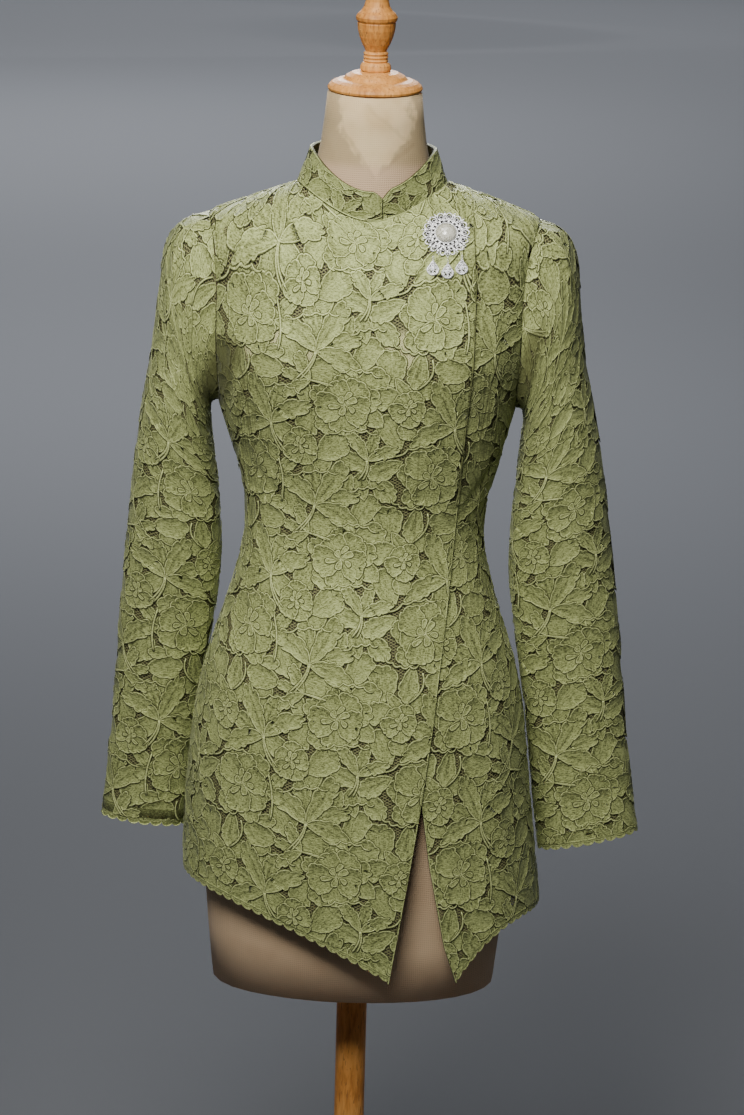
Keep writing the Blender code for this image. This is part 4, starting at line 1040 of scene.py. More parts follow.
# %% Meshes of the motifs
def motif_rings(outline, spine, local, rank, kind):
    """A motif's points (x, y, height), tones and thread places, and its faces."""
    reach = np.maximum(np.linalg.norm(spine - outline, axis=1, keepdims=True), 1e-6)
    count = len(outline)
    rings = [(np.minimum(inset / reach, 0.6), height, tone) for inset, height, tone in KINDS[kind][0]]
    rings += KINDS[kind][1]
    rows, tones, threads = [], [], []
    for share, height, tone in rings:
        level = np.full((count, 1), rank * RANK_RISE + height)
        rows.append(np.concatenate([outline + (spine - outline) * share, level], axis=1))
        threads.append(local[0] + (local[1] - local[0]) * share)
        tones.append(np.full(count, tone))
    faces = []
    for ring in range(len(rows) - 1):
        for i in range(count):
            k = (i + 1) % count
            faces.append((ring * count + i, ring * count + k, (ring + 1) * count + k, (ring + 1) * count + i))
    top, half = (len(rows) - 1) * count, count // 2
    for i in range(1, half - 1):
        faces.append((top + i, top + i + 1, top + count - i - 1, top + count - i))
    faces.append((top, top + 1, top + count - 1, top + count - 1))
    faces.append((top + half - 1, top + half, top + half + 1, top + half + 1 + count % 2))
    return np.concatenate(rows), np.concatenate(tones), np.concatenate(threads), np.array(faces)


def seen_faces(number):
    """A motif's mesh without the faces that lie under a higher motif."""
    points, tones, threads, faces = motif_rings(*motifs[number])
    rank, low, high = motifs[number][3], points[:, :2].min(axis=0), points[:, :2].max(axis=0)
    under = np.zeros(len(points), dtype=bool)
    for outline, spine, _, other, _ in motifs:
        if other <= rank:
            continue
        shrunk = outline + (spine - outline) * 0.03
        for copy in copies(shrunk):
            if (copy.max(axis=0) > low).all() and (copy.min(axis=0) < high).all():
                under |= inside_outline(points[:, :2], copy)
    return points, tones, threads, faces[~under[faces].all(axis=1)]


def gather(parts):
    """Joins the points, tones, threads and faces of several motifs into one set of arrays."""
    start, faces = 0, []
    for points, *_, own in parts:
        faces.append(own + start)
        start += len(points)
    return (*(np.concatenate([part[k] for part in parts]) for k in range(3)), np.concatenate(faces))


tile = gather([seen_faces(number) for number in range(len(motifs))])
print("tile:", len(motifs), "motifs,", len(tile[3]), "faces")


# %% From the tile to a cut piece
FLOAT = -0.0003  # the clothwork's foot on the piece's surface


def clothwork(name, piece, parts, shift=(0.0, 0.0), flip=False, half=0):
    """Repeats the tile over a cut piece, or over its right or left half, crops it and lifts it on to the surface."""
    points, tones, threads, faces = parts
    low, high = np.array((piece.x.min(), piece.y[0])), np.array((piece.x.max(), piece.y[-1]))
    size, base = np.array(TILE) / 1000.0, points[:, :2] / 1000.0
    sets = []
    for i in range(math.floor((low[0] - shift[0]) / size[0]) - 1, math.ceil((high[0] - shift[0]) / size[0]) + 1):
        for j in range(math.floor((low[1] - shift[1]) / size[1]) - 1, math.ceil((high[1] - shift[1]) / size[1]) + 1):
            flat = base + shift + (i, j) * size
            near = ((flat > low) & (flat < high)).all(axis=1)
            if near.any():
                own = faces[near[faces].any(axis=1)]
                own = own[flat[own, 0].mean(axis=1) * half >= 0.0]
                sets.append((np.concatenate([flat, points[:, 2:] / 1000.0], axis=1), tones, threads, own))
    return on_piece(name, piece, gather(sets), flip)


def on_piece(name, piece, parts, flip=False):
    """Keeps what lies inside a piece's edges, pulls the cut faces back to them and makes the mesh."""
    points, tones, threads, faces = parts
    x, y, height = points.T
    a, b = piece.place(x, y)
    first, last, low = piece.first(b), piece.last(b), piece.lace_low(a)
    inside = (x > piece.flat(first, b)[0]) & (x < piece.flat(last, b)[0])
    inside &= (y > piece.flat(a, low)[1]) & (y < piece.y[-1])
    faces = faces[inside[faces].any(axis=1)]
    used = np.unique(faces)
    renumber = np.zeros(len(points), dtype=int)
    renumber[used] = np.arange(len(used))
    faces = renumber[faces]
    if flip:
        faces = faces[:, ::-1]
    a, b = np.clip(a[used], first[used], last[used]), np.maximum(b[used], low[used])
    placed = piece.lift(a, b, height[used] + FLOAT)
    kept = [tuple(dict.fromkeys(face)) for face in faces.tolist()]
    mesh = bpy.data.meshes.new(name)
    mesh.from_pydata(placed.tolist(), [], [face for face in kept if len(face) > 2])
    add_map(mesh, "cut", np.stack([x[used], y[used]], axis=-1))
    add_map(mesh, "thread", threads[used] / 1000.0)
    add_tones(mesh, tones[used])
    mesh.shade_smooth()
    made = bpy.data.objects.new(name, mesh)
    bpy.context.scene.collection.objects.link(made)
    print(name, len(mesh.polygons), "faces")
    return made


print("tile's foot at", 1000.0 * FLOAT, "mm")

# %% Lace on the cut pieces
LAYOUT = {  # where the tile starts on each piece
    "right_front": (0.020, 0.010), "left_front": (0.060, 0.085), "back": (-0.030, 0.050),
    "right_sleeve": (0.050, 0.030), "left_sleeve": (-0.020, 0.100), "collar": (0.010, -0.060),
}
lace = {}
for name, piece in pieces.items():
    halves = {"": 0} if name != "back" else {"_left": -1, "_right": 1}
    lace[name] = [
        clothwork(name + "_clothwork" + ending, piece, tile, LAYOUT[name], name == "right_sleeve", half)
        for ending, half in halves.items()
    ]

# %% [markdown]
# ## Scalloped edgings
# A narrow edging finishes each hem and cuff. It is a ribbon that follows its seam, made of rows: the rows near
# its free edge follow a row of scallops and flatten towards the seam. Cords, grooves and a row of arches are
# again a table of rows: distance from the free edge, height, tone, and how far the row follows the scallops.

# %% Edging rows
# The low tones, at the free edge and in the grooves, are painted shade; the light tones on the cords are partly paler
# thread and partly painted highlight.
EDGING_ROWS = [  # millimetres from the edge, height, tone, share of the scallop
    (0.0, -0.9, 0.20, 1.00), (0.0, -0.1, 0.60, 1.00), (0.5, 0.50, 0.95, 1.00), (1.1, 0.20, 0.45, 1.00),
    (3.0, 0.25, 0.52, 0.95), (3.6, 0.05, 0.02, 0.92), (4.2, 0.45, 0.85, 0.88), (4.9, 0.22, 0.50, 0.80),
    (6.0, 0.30, 0.40, 0.40), (6.6, 0.70, 0.62, 0.32), (7.4, 0.60, 0.52, 0.20), (8.2, -0.35, 0.22, 0.05),
    (19.0, -0.50, 0.30, 0.00),
]
SCALLOP_WIDTH, SCALLOP_DEPTH, SCALLOP_STEPS = 0.0122, 0.0038, 10


def edging(name, surface, start, end, outward=1.0, closed=False):
    """A scalloped ribbon. surface(run, share) gives its points, share 0 at the free edge and 1 at the seam."""
    fine = np.linspace(start, end, 801)
    run = np.linalg.norm(np.diff(surface(fine, np.zeros_like(fine)), axis=0), axis=1)
    run = np.concatenate([[0.0], np.cumsum(run)])
    scallops = max(1, round(run[-1] / SCALLOP_WIDTH))
    columns = scallops * SCALLOP_STEPS + (0 if closed else 1)
    share = np.arange(columns) / SCALLOP_STEPS
    along_edge = np.interp(share / scallops * run[-1], run, fine)
    rise = SCALLOP_DEPTH * (1.0 - np.abs(np.sin(math.pi * share)) ** 0.62)
    rise *= 1.0 + 0.25 * np.sin(2.1 * share)
    rows, cuts, threads, tones = [], [], [], []
    for off, height, tone, follow in EDGING_ROWS:
        up = off / 1000.0 + rise * follow * (1.0 - off / 19.0)
        a, t, step = along_edge, up / EDGING, 1e-3
        way_a = surface(a + step, t) - surface(a - step, t)
        ahead = np.minimum(t + 0.02, 1.0)
        way_t = surface(a, ahead) - surface(a, ahead - 0.04)
        normal = np.cross(way_a, way_t) * outward
        normal /= np.maximum(np.linalg.norm(normal, axis=-1, keepdims=True), 1e-12)
        rows.append(surface(a, t) + normal * (height / 1000.0))
        cuts.append(np.stack([share / scallops * run[-1], up], axis=-1))
        threads.append(np.stack([(share % 1.0 - 0.5) * SCALLOP_WIDTH, 0.012 - up], axis=-1))
        tones.append(np.full(columns, tone))
    points, cut = np.array(rows), np.array(cuts)
    made = grid_object(name, points, cut, closed, flip=outward < 0.0)
    add_map(made.data, "thread", np.array(threads).reshape(-1, 2))
    add_tones(made.data, np.concatenate(tones))
    print(name, scallops, "scallops", round(float(run[-1]), 3), "m long")
    return made


print("edging rows:", len(EDGING_ROWS))

# %% [markdown]
# ## Bound edges
# The cut edges of lace would fray, so the fronts and the collar's top are bound with a thin cord of the same
# thread. It could be a bevelled curve. A narrow strip of rows is used again, because it can also close the
# piece's edge: its first row lies below the surface, and its second comes up outside the cut.

# %% Bindings
# The dark tones on the wall below the edge and at the inner foot are painted shade; the light ones on the cord's top
# are partly paler thread and partly painted highlight.
BINDING_ROWS = [  # millimetres from the edge, height, tone
    (0.0, -2.3, -0.3), (-0.05, -0.3, 0.1), (0.12, 0.70, 0.72), (0.70, 0.76, 0.78), (1.30, 0.40, 0.36),
    (1.60, -0.6, 0.0),
]
# Its dark tone is a painted shadow line along the collar's seam.
SEAM_ROWS = [  # a groove and a cord beside it
    (0.0, 0.2, -0.5), (0.1, 1.35, -0.5), (0.8, 1.35, -0.4), (1.1, 1.2, 0.45), (1.9, 0.8, 0.62), (2.6, 0.1, 0.3),
]
# Their dark tones are painted shade in the gap between the two ends.
CLOSING_ROWS = [  # the collar's two ends, which face each other
    (0.0, -2.3, -0.5), (0.02, 0.2, -0.5), (0.5, 0.62, -0.3), (0.85, 0.70, 0.60), (1.4, 0.45, 0.50), (1.6, -0.6, 0.2),
]


def binding(name, piece, a, b, way, rows):
    """A narrow strip along an edge of a cut piece. a and b run along the edge and way points in from it."""
    x, y = piece.flat(a, b)
    points, cuts, threads, tones = [], [], [], []
    for inset, height, tone in rows:
        cut = np.stack([x + way[0] * inset / 1000.0, y + way[1] * inset / 1000.0], axis=-1)
        points.append(piece.lift(*piece.place(cut[:, 0], cut[:, 1]), np.full(a.shape, height / 1000.0)))
        cuts.append(cut)
        threads.append(np.stack([np.full(a.shape, inset / 1000.0), x + y], axis=-1))
        tones.append(np.full(a.shape, tone))
    points = np.array(points)
    face = np.cross(points[2, 1] - points[2, 0], points[3, 0] - points[2, 0])
    out = piece.lift(a[:1], b[:1], np.full(1, 0.001))[0] - piece.lift(a[:1], b[:1], np.zeros(1))[0]
    made = grid_object(name, points, np.array(cuts), flip=float(face @ out) < 0.0)
    add_map(made.data, "thread", np.array(threads).reshape(-1, 2))
    add_tones(made.data, np.concatenate(tones))
    return made


print("binding rows:", len(BINDING_ROWS), len(SEAM_ROWS), len(CLOSING_ROWS))


# %% Edgings of hems and cuffs
def hem_ribbon(surface, height):
    """The ribbon between a hem and its edging's seam."""
    low, high = hem_level(height), above(height)

    def ribbon(angle, share):
        return surface(angle, low(angle) * (1.0 - share) + high(angle) * share)
    return ribbon


def cuff_ribbon(side):
    """The ribbon between a cuff and its edging's seam."""
    def ribbon(turn, share):
        return sleeve_point(turn, CUFF * (1.0 - share) + CUFF_SEAM * share, side)
    return ribbon


def edge_at_hem(edge, height):
    """The angle at which a front's free edge meets its hem."""
    level = 1.0
    for _ in range(20):
        level = float(hem_level(height)(np.array(float(edge(level)))))
    return float(edge(level))


edgings = {
    "right_front_hem_edging": edging("right_front_hem_lace", hem_ribbon(wrap_surface, right_hem),
                                     -SIDE, edge_at_hem(wrap_edge, right_hem)),
    "left_front_hem_edging": edging("left_front_hem_lace", hem_ribbon(body_point, left_hem),
                                    edge_at_hem(under_edge, left_hem), SIDE),
    "back_hem_edging": edging("back_hem_lace", hem_ribbon(body_point, back_hem), SIDE, 3.0 * SIDE),
    "right_cuff_edging": edging("right_cuff_lace", cuff_ribbon(-1.0), 3.0 * SIDE, -SIDE, 1.0, True),
    "left_cuff_edging": edging("left_cuff_lace", cuff_ribbon(1.0), -SIDE, 3.0 * SIDE, 1.0, True),
}

# %% Bound edges
wrap_levels = np.linspace(float(hem_level(right_hem)(edge_at_hem(wrap_edge, right_hem))), NECK, 261)
under_levels = np.linspace(float(hem_level(left_hem)(edge_at_hem(under_edge, left_hem))), NECK, 261)
round_collar, up_collar = np.linspace(0.0, 1.0, 181), np.linspace(0.0, 1.0, 15)
start, end = np.zeros(15), np.ones(15)
bindings = {
    "right_front": [binding("wrap_edge_binding", right_front, wrap_edge(wrap_levels), wrap_levels, (-1.0, 0.0),
                            BINDING_ROWS)],
    "left_front": [binding("under_edge_binding", left_front, under_edge(under_levels), under_levels, (1.0, 0.0),
                           BINDING_ROWS)],
    "collar": [
        binding("collar_top_binding", collar, round_collar, np.ones(181), (0.0, -1.0), BINDING_ROWS),
        binding("collar_seam", collar, round_collar, np.zeros(181), (0.0, 1.0), SEAM_ROWS),
        binding("collar_right_end", collar, end, up_collar, (-1.0, 0.0), CLOSING_ROWS),
        binding("collar_left_end", collar, start, up_collar, (1.0, 0.0), CLOSING_ROWS),
    ],
}
print("bound edges:", sum(len(made) for made in bindings.values()))

# %% [markdown]
# ## Lace materials
# Corded lace is shiny thread over matt net. One node group draws the thread work: stitches that fan out from
# each motif's base, fine mottling, and the tone painted on the rings, which gives painted shade at the foot of
# each cord. The net is drawn as two families of crossing threads with clear holes between them, so the form
# shows through it. Round each hole a band is painted dark as shade, and near the bust pale as the lit form.

# %% Thread work as a node group
thread_group, given, result = node_group(
    "thread_work",
    {"Tone": ("Float", 0.5), "Cut": ("Vector", None), "Thread": ("Vector", None), "Stitches": ("Float", 19.0)},
    {"Base Color": "Color", "Height": "Float", "Roughness": "Float"},
)
tree = thread_group
x, y, _ = split(tree, given["Thread"])
fan = math_node(tree, "ARCTAN2", x, math_node(tree, "ADD", y, 0.006))
reach = add_node(tree, "VectorMath", 1, operation="LENGTH", i0=given["Thread"])
stitch_place = add_node(tree, "CombineXYZ", X=multiply(tree, fan, given["Stitches"]), Y=multiply(tree, reach, 150.0))
stitches = add_node(tree, "TexNoise", noise_dimensions="2D", Vector=stitch_place, Scale=1.0, Detail=2.5)
ribbed = add_node(tree, "VectorMath", operation="MULTIPLY", i0=given["Cut"], i1=(0.5, 1.7, 1.0))
mottle = add_node(tree, "TexNoise", noise_dimensions="2D", Vector=ribbed, Scale=600.0, Detail=3.0)
patches = add_node(tree, "TexNoise", noise_dimensions="2D", Vector=given["Cut"], Scale=38.0, Detail=2.0)
pits = add_node(tree, "TexNoise", noise_dimensions="2D", Vector=given["Cut"], Scale=820.0, Detail=1.0)
shade = given["Tone"]
for noise, amount in ((stitches, 0.60), (mottle, 0.95), (patches, 0.20)):
    shade = math_node(tree, "ADD", shade, swing(tree, noise, amount))
shade = math_node(tree, "SUBTRACT", shade, spread_over(tree, pits, 0.60, 0.72, 0.0, 0.34))
# Low tones give the painted shade at the cords' feet and in the grooves; high tones give the cords' light, partly
# paler thread and partly painted highlight.
colour = colour_ramp(tree, shade, [
    (0.0, (0.028, 0.027, 0.009)), (0.22, (0.096, 0.103, 0.037)), (0.40, (0.245, 0.275, 0.100)),
    (0.56, (0.365, 0.403, 0.157)), (0.78, (0.462, 0.504, 0.212)), (1.0, (0.680, 0.720, 0.352)),
])
tree.links.new(colour, result["Base Color"])
height = math_node(tree, "ADD", multiply(tree, stitches, 0.7), multiply(tree, mottle, 0.5))
tree.links.new(height, result["Height"])
tree.links.new(math_node(tree, "SUBTRACT", 0.66, multiply(tree, given["Tone"], 0.28)), result["Roughness"])
print("thread work group:", len(thread_group.nodes), "nodes")

# %% A stroke as a node group
stroke_group, given, result = node_group(
    "stroke",
    {"Place": ("Vector", None), "From": ("Vector", None), "To": ("Vector", None), "Width": ("Float", 0.001)},
    {"Mark": "Float"},
)
tree = stroke_group
run = add_node(tree, "VectorMath", operation="SUBTRACT", i0=given["To"], i1=given["From"])
ahead = add_node(tree, "VectorMath", operation="SUBTRACT", i0=given["Place"], i1=given["From"])
share = math_node(tree, "DIVIDE", add_node(tree, "VectorMath", 1, operation="DOT_PRODUCT", i0=ahead, i1=run),
                  add_node(tree, "VectorMath", 1, operation="DOT_PRODUCT", i0=run, i1=run), clamp=True)
nearest = add_node(tree, "VectorMath", operation="SCALE", i0=run, Scale=share)
off = add_node(tree, "VectorMath", 1, operation="DISTANCE", i0=ahead, i1=nearest)
tree.links.new(smooth_step(tree, math_node(tree, "DIVIDE", off, given["Width"]), 1.0, 0.3), result["Mark"])
print("stroke group:", len(stroke_group.nodes), "nodes")


def stroke(tree, place, start, end, width, dark, kept=None):
    """The mask of a stroke from start to end, as strong as dark, and only where kept is 1."""
    mark = use_group(tree, stroke_group, Place=place, From=(*start, 0.0), To=(*end, 0.0), Width=width)["Mark"]
    mark = multiply(tree, mark, dark)
    return mark if kept is None else multiply(tree, mark, kept)


# %% Corded lace
# Dark strokes painted into the lace's colour, all painted shade: along the darts, beside the wrap-over edge where it
# casts its shadow, and in the hollows in front of the armpits. They also dip the bump.
DART_SHADES = [  # from and to (distance from the centre, height) in metres, and how dark: side dart, long waist dart
    ((0.1336, 1.1831), (0.1229, 1.1391), 0.75), ((0.1229, 1.1391), (0.1154, 1.0877), 0.65),
    ((0.0551, 1.1359), (0.0518, 0.9862), 0.34), ((0.0518, 0.9862), (0.0504, 0.9254), 0.28),
]
ARMPIT_SHADES = [  # from and to (across, height) in metres, width and how dark: the folds in front of each armpit
    ((-0.1420, 1.1720), (-0.1560, 1.1229), 0.024, 0.80), ((0.1690, 1.1900), (0.1519, 1.1208), 0.014, 0.70),
]
DART_WIDTH, WRAP_SHADOW_WIDTH, BESIDE_EDGE = 0.0012, 0.0018, 0.0014
WRAP_SHADOW_DARK, PUCKER_SHADE = 0.62, 0.55
lace_material, tree, look = new_material("corded_lace", Sheen_Weight=0.05, Specular_IOR_Level=1.0)
look["Specular Tint"].default_value = (0.80, 0.92, 0.40, 1.0)
cut_map, thread_map = (add_node(tree, "UVMap", uv_map=name) for name in ("cut", "thread"))
tone = add_node(tree, "Attribute", 2, attribute_name="tone")
work = use_group(tree, thread_group, Tone=tone, Cut=cut_map, Thread=thread_map)
tree.links.new(work["Roughness"], look["Roughness"])
x, y, z = split(tree, add_node(tree, "TexCoord", 3))
from_centre = math_node(tree, "ABSOLUTE", x)
seen_flat, folded_flat = (add_node(tree, "CombineXYZ", X=across, Y=z) for across in (x, from_centre))
in_front, by_the_arm = math_node(tree, "LESS_THAN", y, 0.0), math_node(tree, "LESS_THAN", y, 0.03)
shade_marks = [stroke(tree, folded_flat, start, end, DART_WIDTH, dark) for start, end, dark in DART_SHADES]
# Painted shadow of the wrap-over edge, on the front that lies under it.
shade_marks += [stroke(tree, seen_flat, (low_x + BESIDE_EDGE, low), (high_x + BESIDE_EDGE, high), WRAP_SHADOW_WIDTH,
                 WRAP_SHADOW_DARK, in_front)
          for (low, low_x), (high, high_x) in zip(WRAP_EDGE[5:9], WRAP_EDGE[6:10])]
# Painted shade in the hollows in front of the armpits.
shade_marks += [stroke(tree, seen_flat, start, end, width, dark, by_the_arm) for start, end, width, dark in ARMPIT_SHADES]
near_side = smooth_step(tree, from_centre, 0.098, 0.122)
for value, none, full in ((z, 0.86, 0.94), (z, 1.20, 1.12), (from_centre, 0.150, 0.144)):
    near_side = multiply(tree, near_side, smooth_step(tree, value, none, full))
# Puckers near the side seams, whose hollows are painted darker: painted shade, with a bump.
tall = add_node(tree, "VectorMath", operation="MULTIPLY", i0=cut_map, i1=(420.0, 26.0, 1.0))
puckers = add_node(tree, "TexNoise", noise_dimensions="2D", Vector=tall, Scale=1.0, Detail=2.0)
puckers = multiply(tree, near_side, spread_over(tree, puckers, 0.44, 0.60))
painted_shade_and_dip = strongest(tree, [*shade_marks, multiply(tree, puckers, PUCKER_SHADE)])
# The painted shade's colour, mixed in where any of these marks lies.
tree.links.new(mix_colour(tree, painted_shade_and_dip, work["Base Color"], (0.060, 0.058, 0.020, 1.0)), look["Base Color"])
height = math_node(tree, "SUBTRACT", work["Height"], painted_shade_and_dip)
tree.links.new(add_node(tree, "Bump", Strength=0.65, Distance=0.0006, Height=height), look["Normal"])
print("corded lace:", len(tree.nodes), "nodes")

# %% [markdown]
# ## The net's threads
# Real net has thousands of cells, too many to model. Two families of slanting lines, worked out from the flat
# coordinates, cross in diamonds that keep their size on every piece. Next to the threads a band is painted dark
# as shade seen through the net, and near the bust pale as the form's lit cream: painted light. Further from the
# threads the material is clear.

# %% Net
# Places near the bust where the band round each hole is painted as the form's lit cream: painted light.
LIT_FORM_PLACES = [(-0.048, -0.128, 1.187), (0.036, -0.128, 1.180), (-0.104, -0.105, 1.182)]  # where the bust fills it
CELLS_ACROSS, CELLS_UP = 190.0, 330.0  # the net's cells in a metre
OPEN_FROM = 0.34  # the share of half a cell that is still thread
net_material, tree, look = new_material("net", Roughness=0.8)
cut_map = add_node(tree, "UVMap", uv_map="cut")
wander = add_node(tree, "TexNoise", 1, noise_dimensions="2D", Vector=cut_map, Scale=160.0, Detail=1.0)
moved = add_node(tree, "VectorMath", operation="MULTIPLY_ADD", i0=wander, i1=(0.0012, 0.0012, 0.0), i2=cut_map)
x, y, _ = split(tree, moved)
across, upward = multiply(tree, x, CELLS_ACROSS), multiply(tree, y, CELLS_UP)
lines = [math_node(tree, "PINGPONG", math_node(tree, way, across, upward), 0.5) for way in ("ADD", "SUBTRACT")]
gap = math_node(tree, "MINIMUM", *lines)
tree.links.new(math_node(tree, "LESS_THAN", gap, OPEN_FROM), look["Alpha"])
# Pale threads, then a band painted dark round each hole: painted shade.
net_threads_with_painted_light = colour_ramp(tree, gap, [
    (0.0, (0.330, 0.345, 0.135)), (0.06, (0.270, 0.275, 0.105)), (0.12, (0.036, 0.030, 0.012)),
])
# The form's cream, painted as lit: painted light near the bust.
lit_form_colour = colour_ramp(tree, gap, [(0.0, (0.26, 0.27, 0.11)), (0.10, (0.40, 0.40, 0.17)), (0.15, (0.74, 0.72, 0.36))])
for centre in LIT_FORM_PLACES:
    off = add_node(tree, "VectorMath", 1, operation="DISTANCE", i0=add_node(tree, "TexCoord", 3), i1=centre)
    net_threads_with_painted_light = mix_colour(tree, smooth_step(tree, off, 0.030, 0.018), net_threads_with_painted_light, lit_form_colour)
tree.links.new(net_threads_with_painted_light, look["Base Color"])
for name in pieces:
    for made in lace[name] + bindings.get(name, []):
        made.data.materials.append(lace_material)
    grounds[name].data.materials.append(net_material)
for made in edgings.values():
    made.data.materials.append(lace_material)
print("lace materials ready")

# %% [markdown]
# ## The form's linen and the turned wood
# The form is padded and covered in undyed linen. Its surface is a copy of the CAD solid, welded and smoothed,
# with a few shallow dents where the padding has settled. Linen is a weave of uneven threads with faint blotches,
# and a pinker band where the collar rubs. The wood is oiled beech under a clear varnish, so its CAD solids stay
# and only their material changes.

# %% Linen cover
form_cover = frame["nodes"]["form_torso"].copy()
form_cover.data = form_cover.data.copy()
form_cover.parent = None
form_cover.name = "form_cover"
bpy.context.scene.collection.objects.link(form_cover)
form_cover.data.materials.clear()
shape = bmesh.new()
shape.from_mesh(form_cover.data)
bmesh.ops.remove_doubles(shape, verts=shape.verts, dist=1e-5)
bmesh.ops.dissolve_limit(shape, angle_limit=math.radians(0.2), verts=shape.verts, edges=shape.edges)
bmesh.ops.triangulate(shape, faces=shape.faces)
DENTS = [  # centre, reach, depth in metres
    ((0.018, -0.060, 1.392), 0.020, 0.0010), ((-0.022, -0.062, 1.405), 0.024, 0.0008),
    ((0.000, -0.066, 1.372), 0.016, 0.0007), ((-0.090, -0.110, 0.520), 0.050, 0.0016),
    ((0.070, -0.125, 0.560), 0.060, 0.0016), ((0.100, 0.100, 0.600), 0.060, 0.0015),
    ((-0.080, 0.120, 0.560), 0.070, 0.0018), ((0.010, 0.050, 1.395), 0.025, 0.0009),
]
for vertex in shape.verts:
    for centre, reach, depth in DENTS:
        off = (vertex.co - Vector(centre)).length / reach
        vertex.co -= vertex.normal * depth * math.exp(-off * off)
shape.to_mesh(form_cover.data)
shape.free()
bpy.ops.object.select_all(action="DESELECT")
form_cover.select_set(True)
bpy.context.view_layer.objects.active = form_cover
bpy.ops.object.shade_smooth_by_angle(angle=math.radians(40.0))
print("form cover:", len(form_cover.data.polygons), "faces")

# %% Linen material
# Crease lines on the neck, painted darker: painted shade in the creases, which also dip the bump.
CREASES = [  # from and to (across, height) in metres on the neck, and how dark
    ((-0.0282, 1.3973), (0.0056, 1.3491), 0.26), ((0.0056, 1.3491), (0.0413, 1.3825), 0.26),
    ((-0.0044, 1.4217), (0.0124, 1.4063), 0.14), ((0.0124, 1.4063), (0.0368, 1.3865), 0.16),
]
CREASE_WIDTH = 0.0030
linen, tree, look = new_material("linen", Roughness=0.85, Sheen_Weight=0.08)
place = add_node(tree, "TexCoord", 3)
x, y, z = split(tree, place)
blotches = add_node(tree, "TexNoise", Vector=place, Scale=34.0, Detail=3.0)
stains = add_node(tree, "TexNoise", Vector=place, Scale=17.0, Detail=2.0)
colour = colour_ramp(tree, blotches, [
    (0.30, (0.600, 0.430, 0.225)), (0.50, (0.740, 0.560, 0.315)), (0.70, (0.830, 0.650, 0.390)),
])
colour = mix_colour(tree, multiply(tree, stains, 0.60), colour, (0.52, 0.370, 0.180, 1.0))
uneven = add_node(tree, "TexNoise", Vector=place, Scale=75.0, Detail=3.0)
# The neck is painted darker on its sides, outside a V at its front that widens upwards: painted shade.
half = math_node(tree, "MINIMUM", multiply(tree, math_node(tree, "SUBTRACT", z, 1.346), 0.80), 0.036)
half = math_node(tree, "ADD", half, swing(tree, uneven, 0.030))
off_centre = math_node(tree, "ABSOLUTE", math_node(tree, "SUBTRACT", x, 0.003))
neck_side_shade = smooth_step(tree, math_node(tree, "SUBTRACT", half, off_centre), 0.006, -0.003, 0.72)
neck_side_shade = multiply(tree, neck_side_shade, math_node(tree, "GREATER_THAN", z, 1.30))
colour = mix_colour(tree, neck_side_shade, colour, (0.330, 0.245, 0.130, 1.0))
wander = add_node(tree, "TexNoise", 1, Vector=place, Scale=90.0)
flat = add_node(tree, "CombineXYZ", X=x, Y=z)
flat = add_node(tree, "VectorMath", operation="MULTIPLY_ADD", i0=wander, i1=(0.006, 0.006, 0.0), i2=flat)
# Painted shade in the creases.
crease_shade_and_dip = strongest(tree, [stroke(tree, flat, start, end, CREASE_WIDTH, dark) for start, end, dark in CREASES])
colour = mix_colour(tree, crease_shade_and_dip, colour, (0.26, 0.17, 0.08, 1.0))
colour = mix_colour(tree, smooth_step(tree, z, 1.366, 1.352, 0.60), colour, (0.660, 0.450, 0.300, 1.0))
# A thin band just under the wood cap is painted dark: painted shade under the cap.
under_cap = math_node(tree, "SUBTRACT", z, multiply(tree, y, 0.0875))
colour = mix_colour(tree, smooth_step(tree, under_cap, 1.4325, 1.4350, 0.85), colour, (0.10, 0.065, 0.035, 1.0))
weave = multiply(tree, *(
    add_node(tree, "TexWave", 1, bands_direction=axis, Vector=place, Scale=150.0, Distortion=2.5, Detail=2.0,
             Detail_Scale=0.6)
    for axis in ("X", "Z")
))
colour = mix_colour(tree, multiply(tree, weave, 0.34), colour, (0.30, 0.22, 0.12, 1.0))
tree.links.new(colour, look["Base Color"])
height = math_node(tree, "SUBTRACT", weave, multiply(tree, crease_shade_and_dip, 1.5))
tree.links.new(add_node(tree, "Bump", Strength=0.5, Distance=0.0006, Height=height), look["Normal"])
print("linen:", len(tree.nodes), "nodes")
form_cover.data.materials.append(linen)
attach(form_cover, GARMENT)
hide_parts("form_torso")
print("form cover rides on", GARMENT)

# %% Varnished wood on the CAD solids
def dress_node(name, material):
    """Gives a CAD node that keeps its shape a better material, through its object's own slot."""
    node = frame["nodes"][name]
    if not node.material_slots:
        node.data.materials.append(None)
    for holder in node.material_slots:
        holder.link = "OBJECT"
        holder.material = material


wood, tree, look = new_material("turned_beech", Coat_Weight=0.04, Coat_Roughness=0.2, Specular_IOR_Level=0.3)
place = add_node(tree, "TexCoord", 3)
stretched = add_node(tree, "VectorMath", operation="MULTIPLY", i0=place, i1=(1.0, 1.0, 0.16))
grain = add_node(tree, "TexNoise", Vector=stretched, Scale=300.0, Detail=4.0, Distortion=0.4)
figure = add_node(tree, "TexWave", 1, wave_type="RINGS", rings_direction="X", Vector=stretched, Scale=22.0,
                  Distortion=6.0, Detail=2.0, Detail_Scale=1.2)
tint = math_node(tree, "ADD", multiply(tree, grain, 0.80), multiply(tree, figure, 0.20))
colour = colour_ramp(tree, tint, [
    (0.25, (0.400, 0.150, 0.030)), (0.48, (0.620, 0.265, 0.058)), (0.75, (0.790, 0.380, 0.105)),
])
flecks = add_node(tree, "TexNoise", Vector=stretched, Scale=620.0, Detail=1.0)
colour = mix_colour(tree, math_node(tree, "GREATER_THAN", flecks, 0.66), colour, (0.36, 0.15, 0.04, 1.0))
tree.links.new(colour, look["Base Color"])
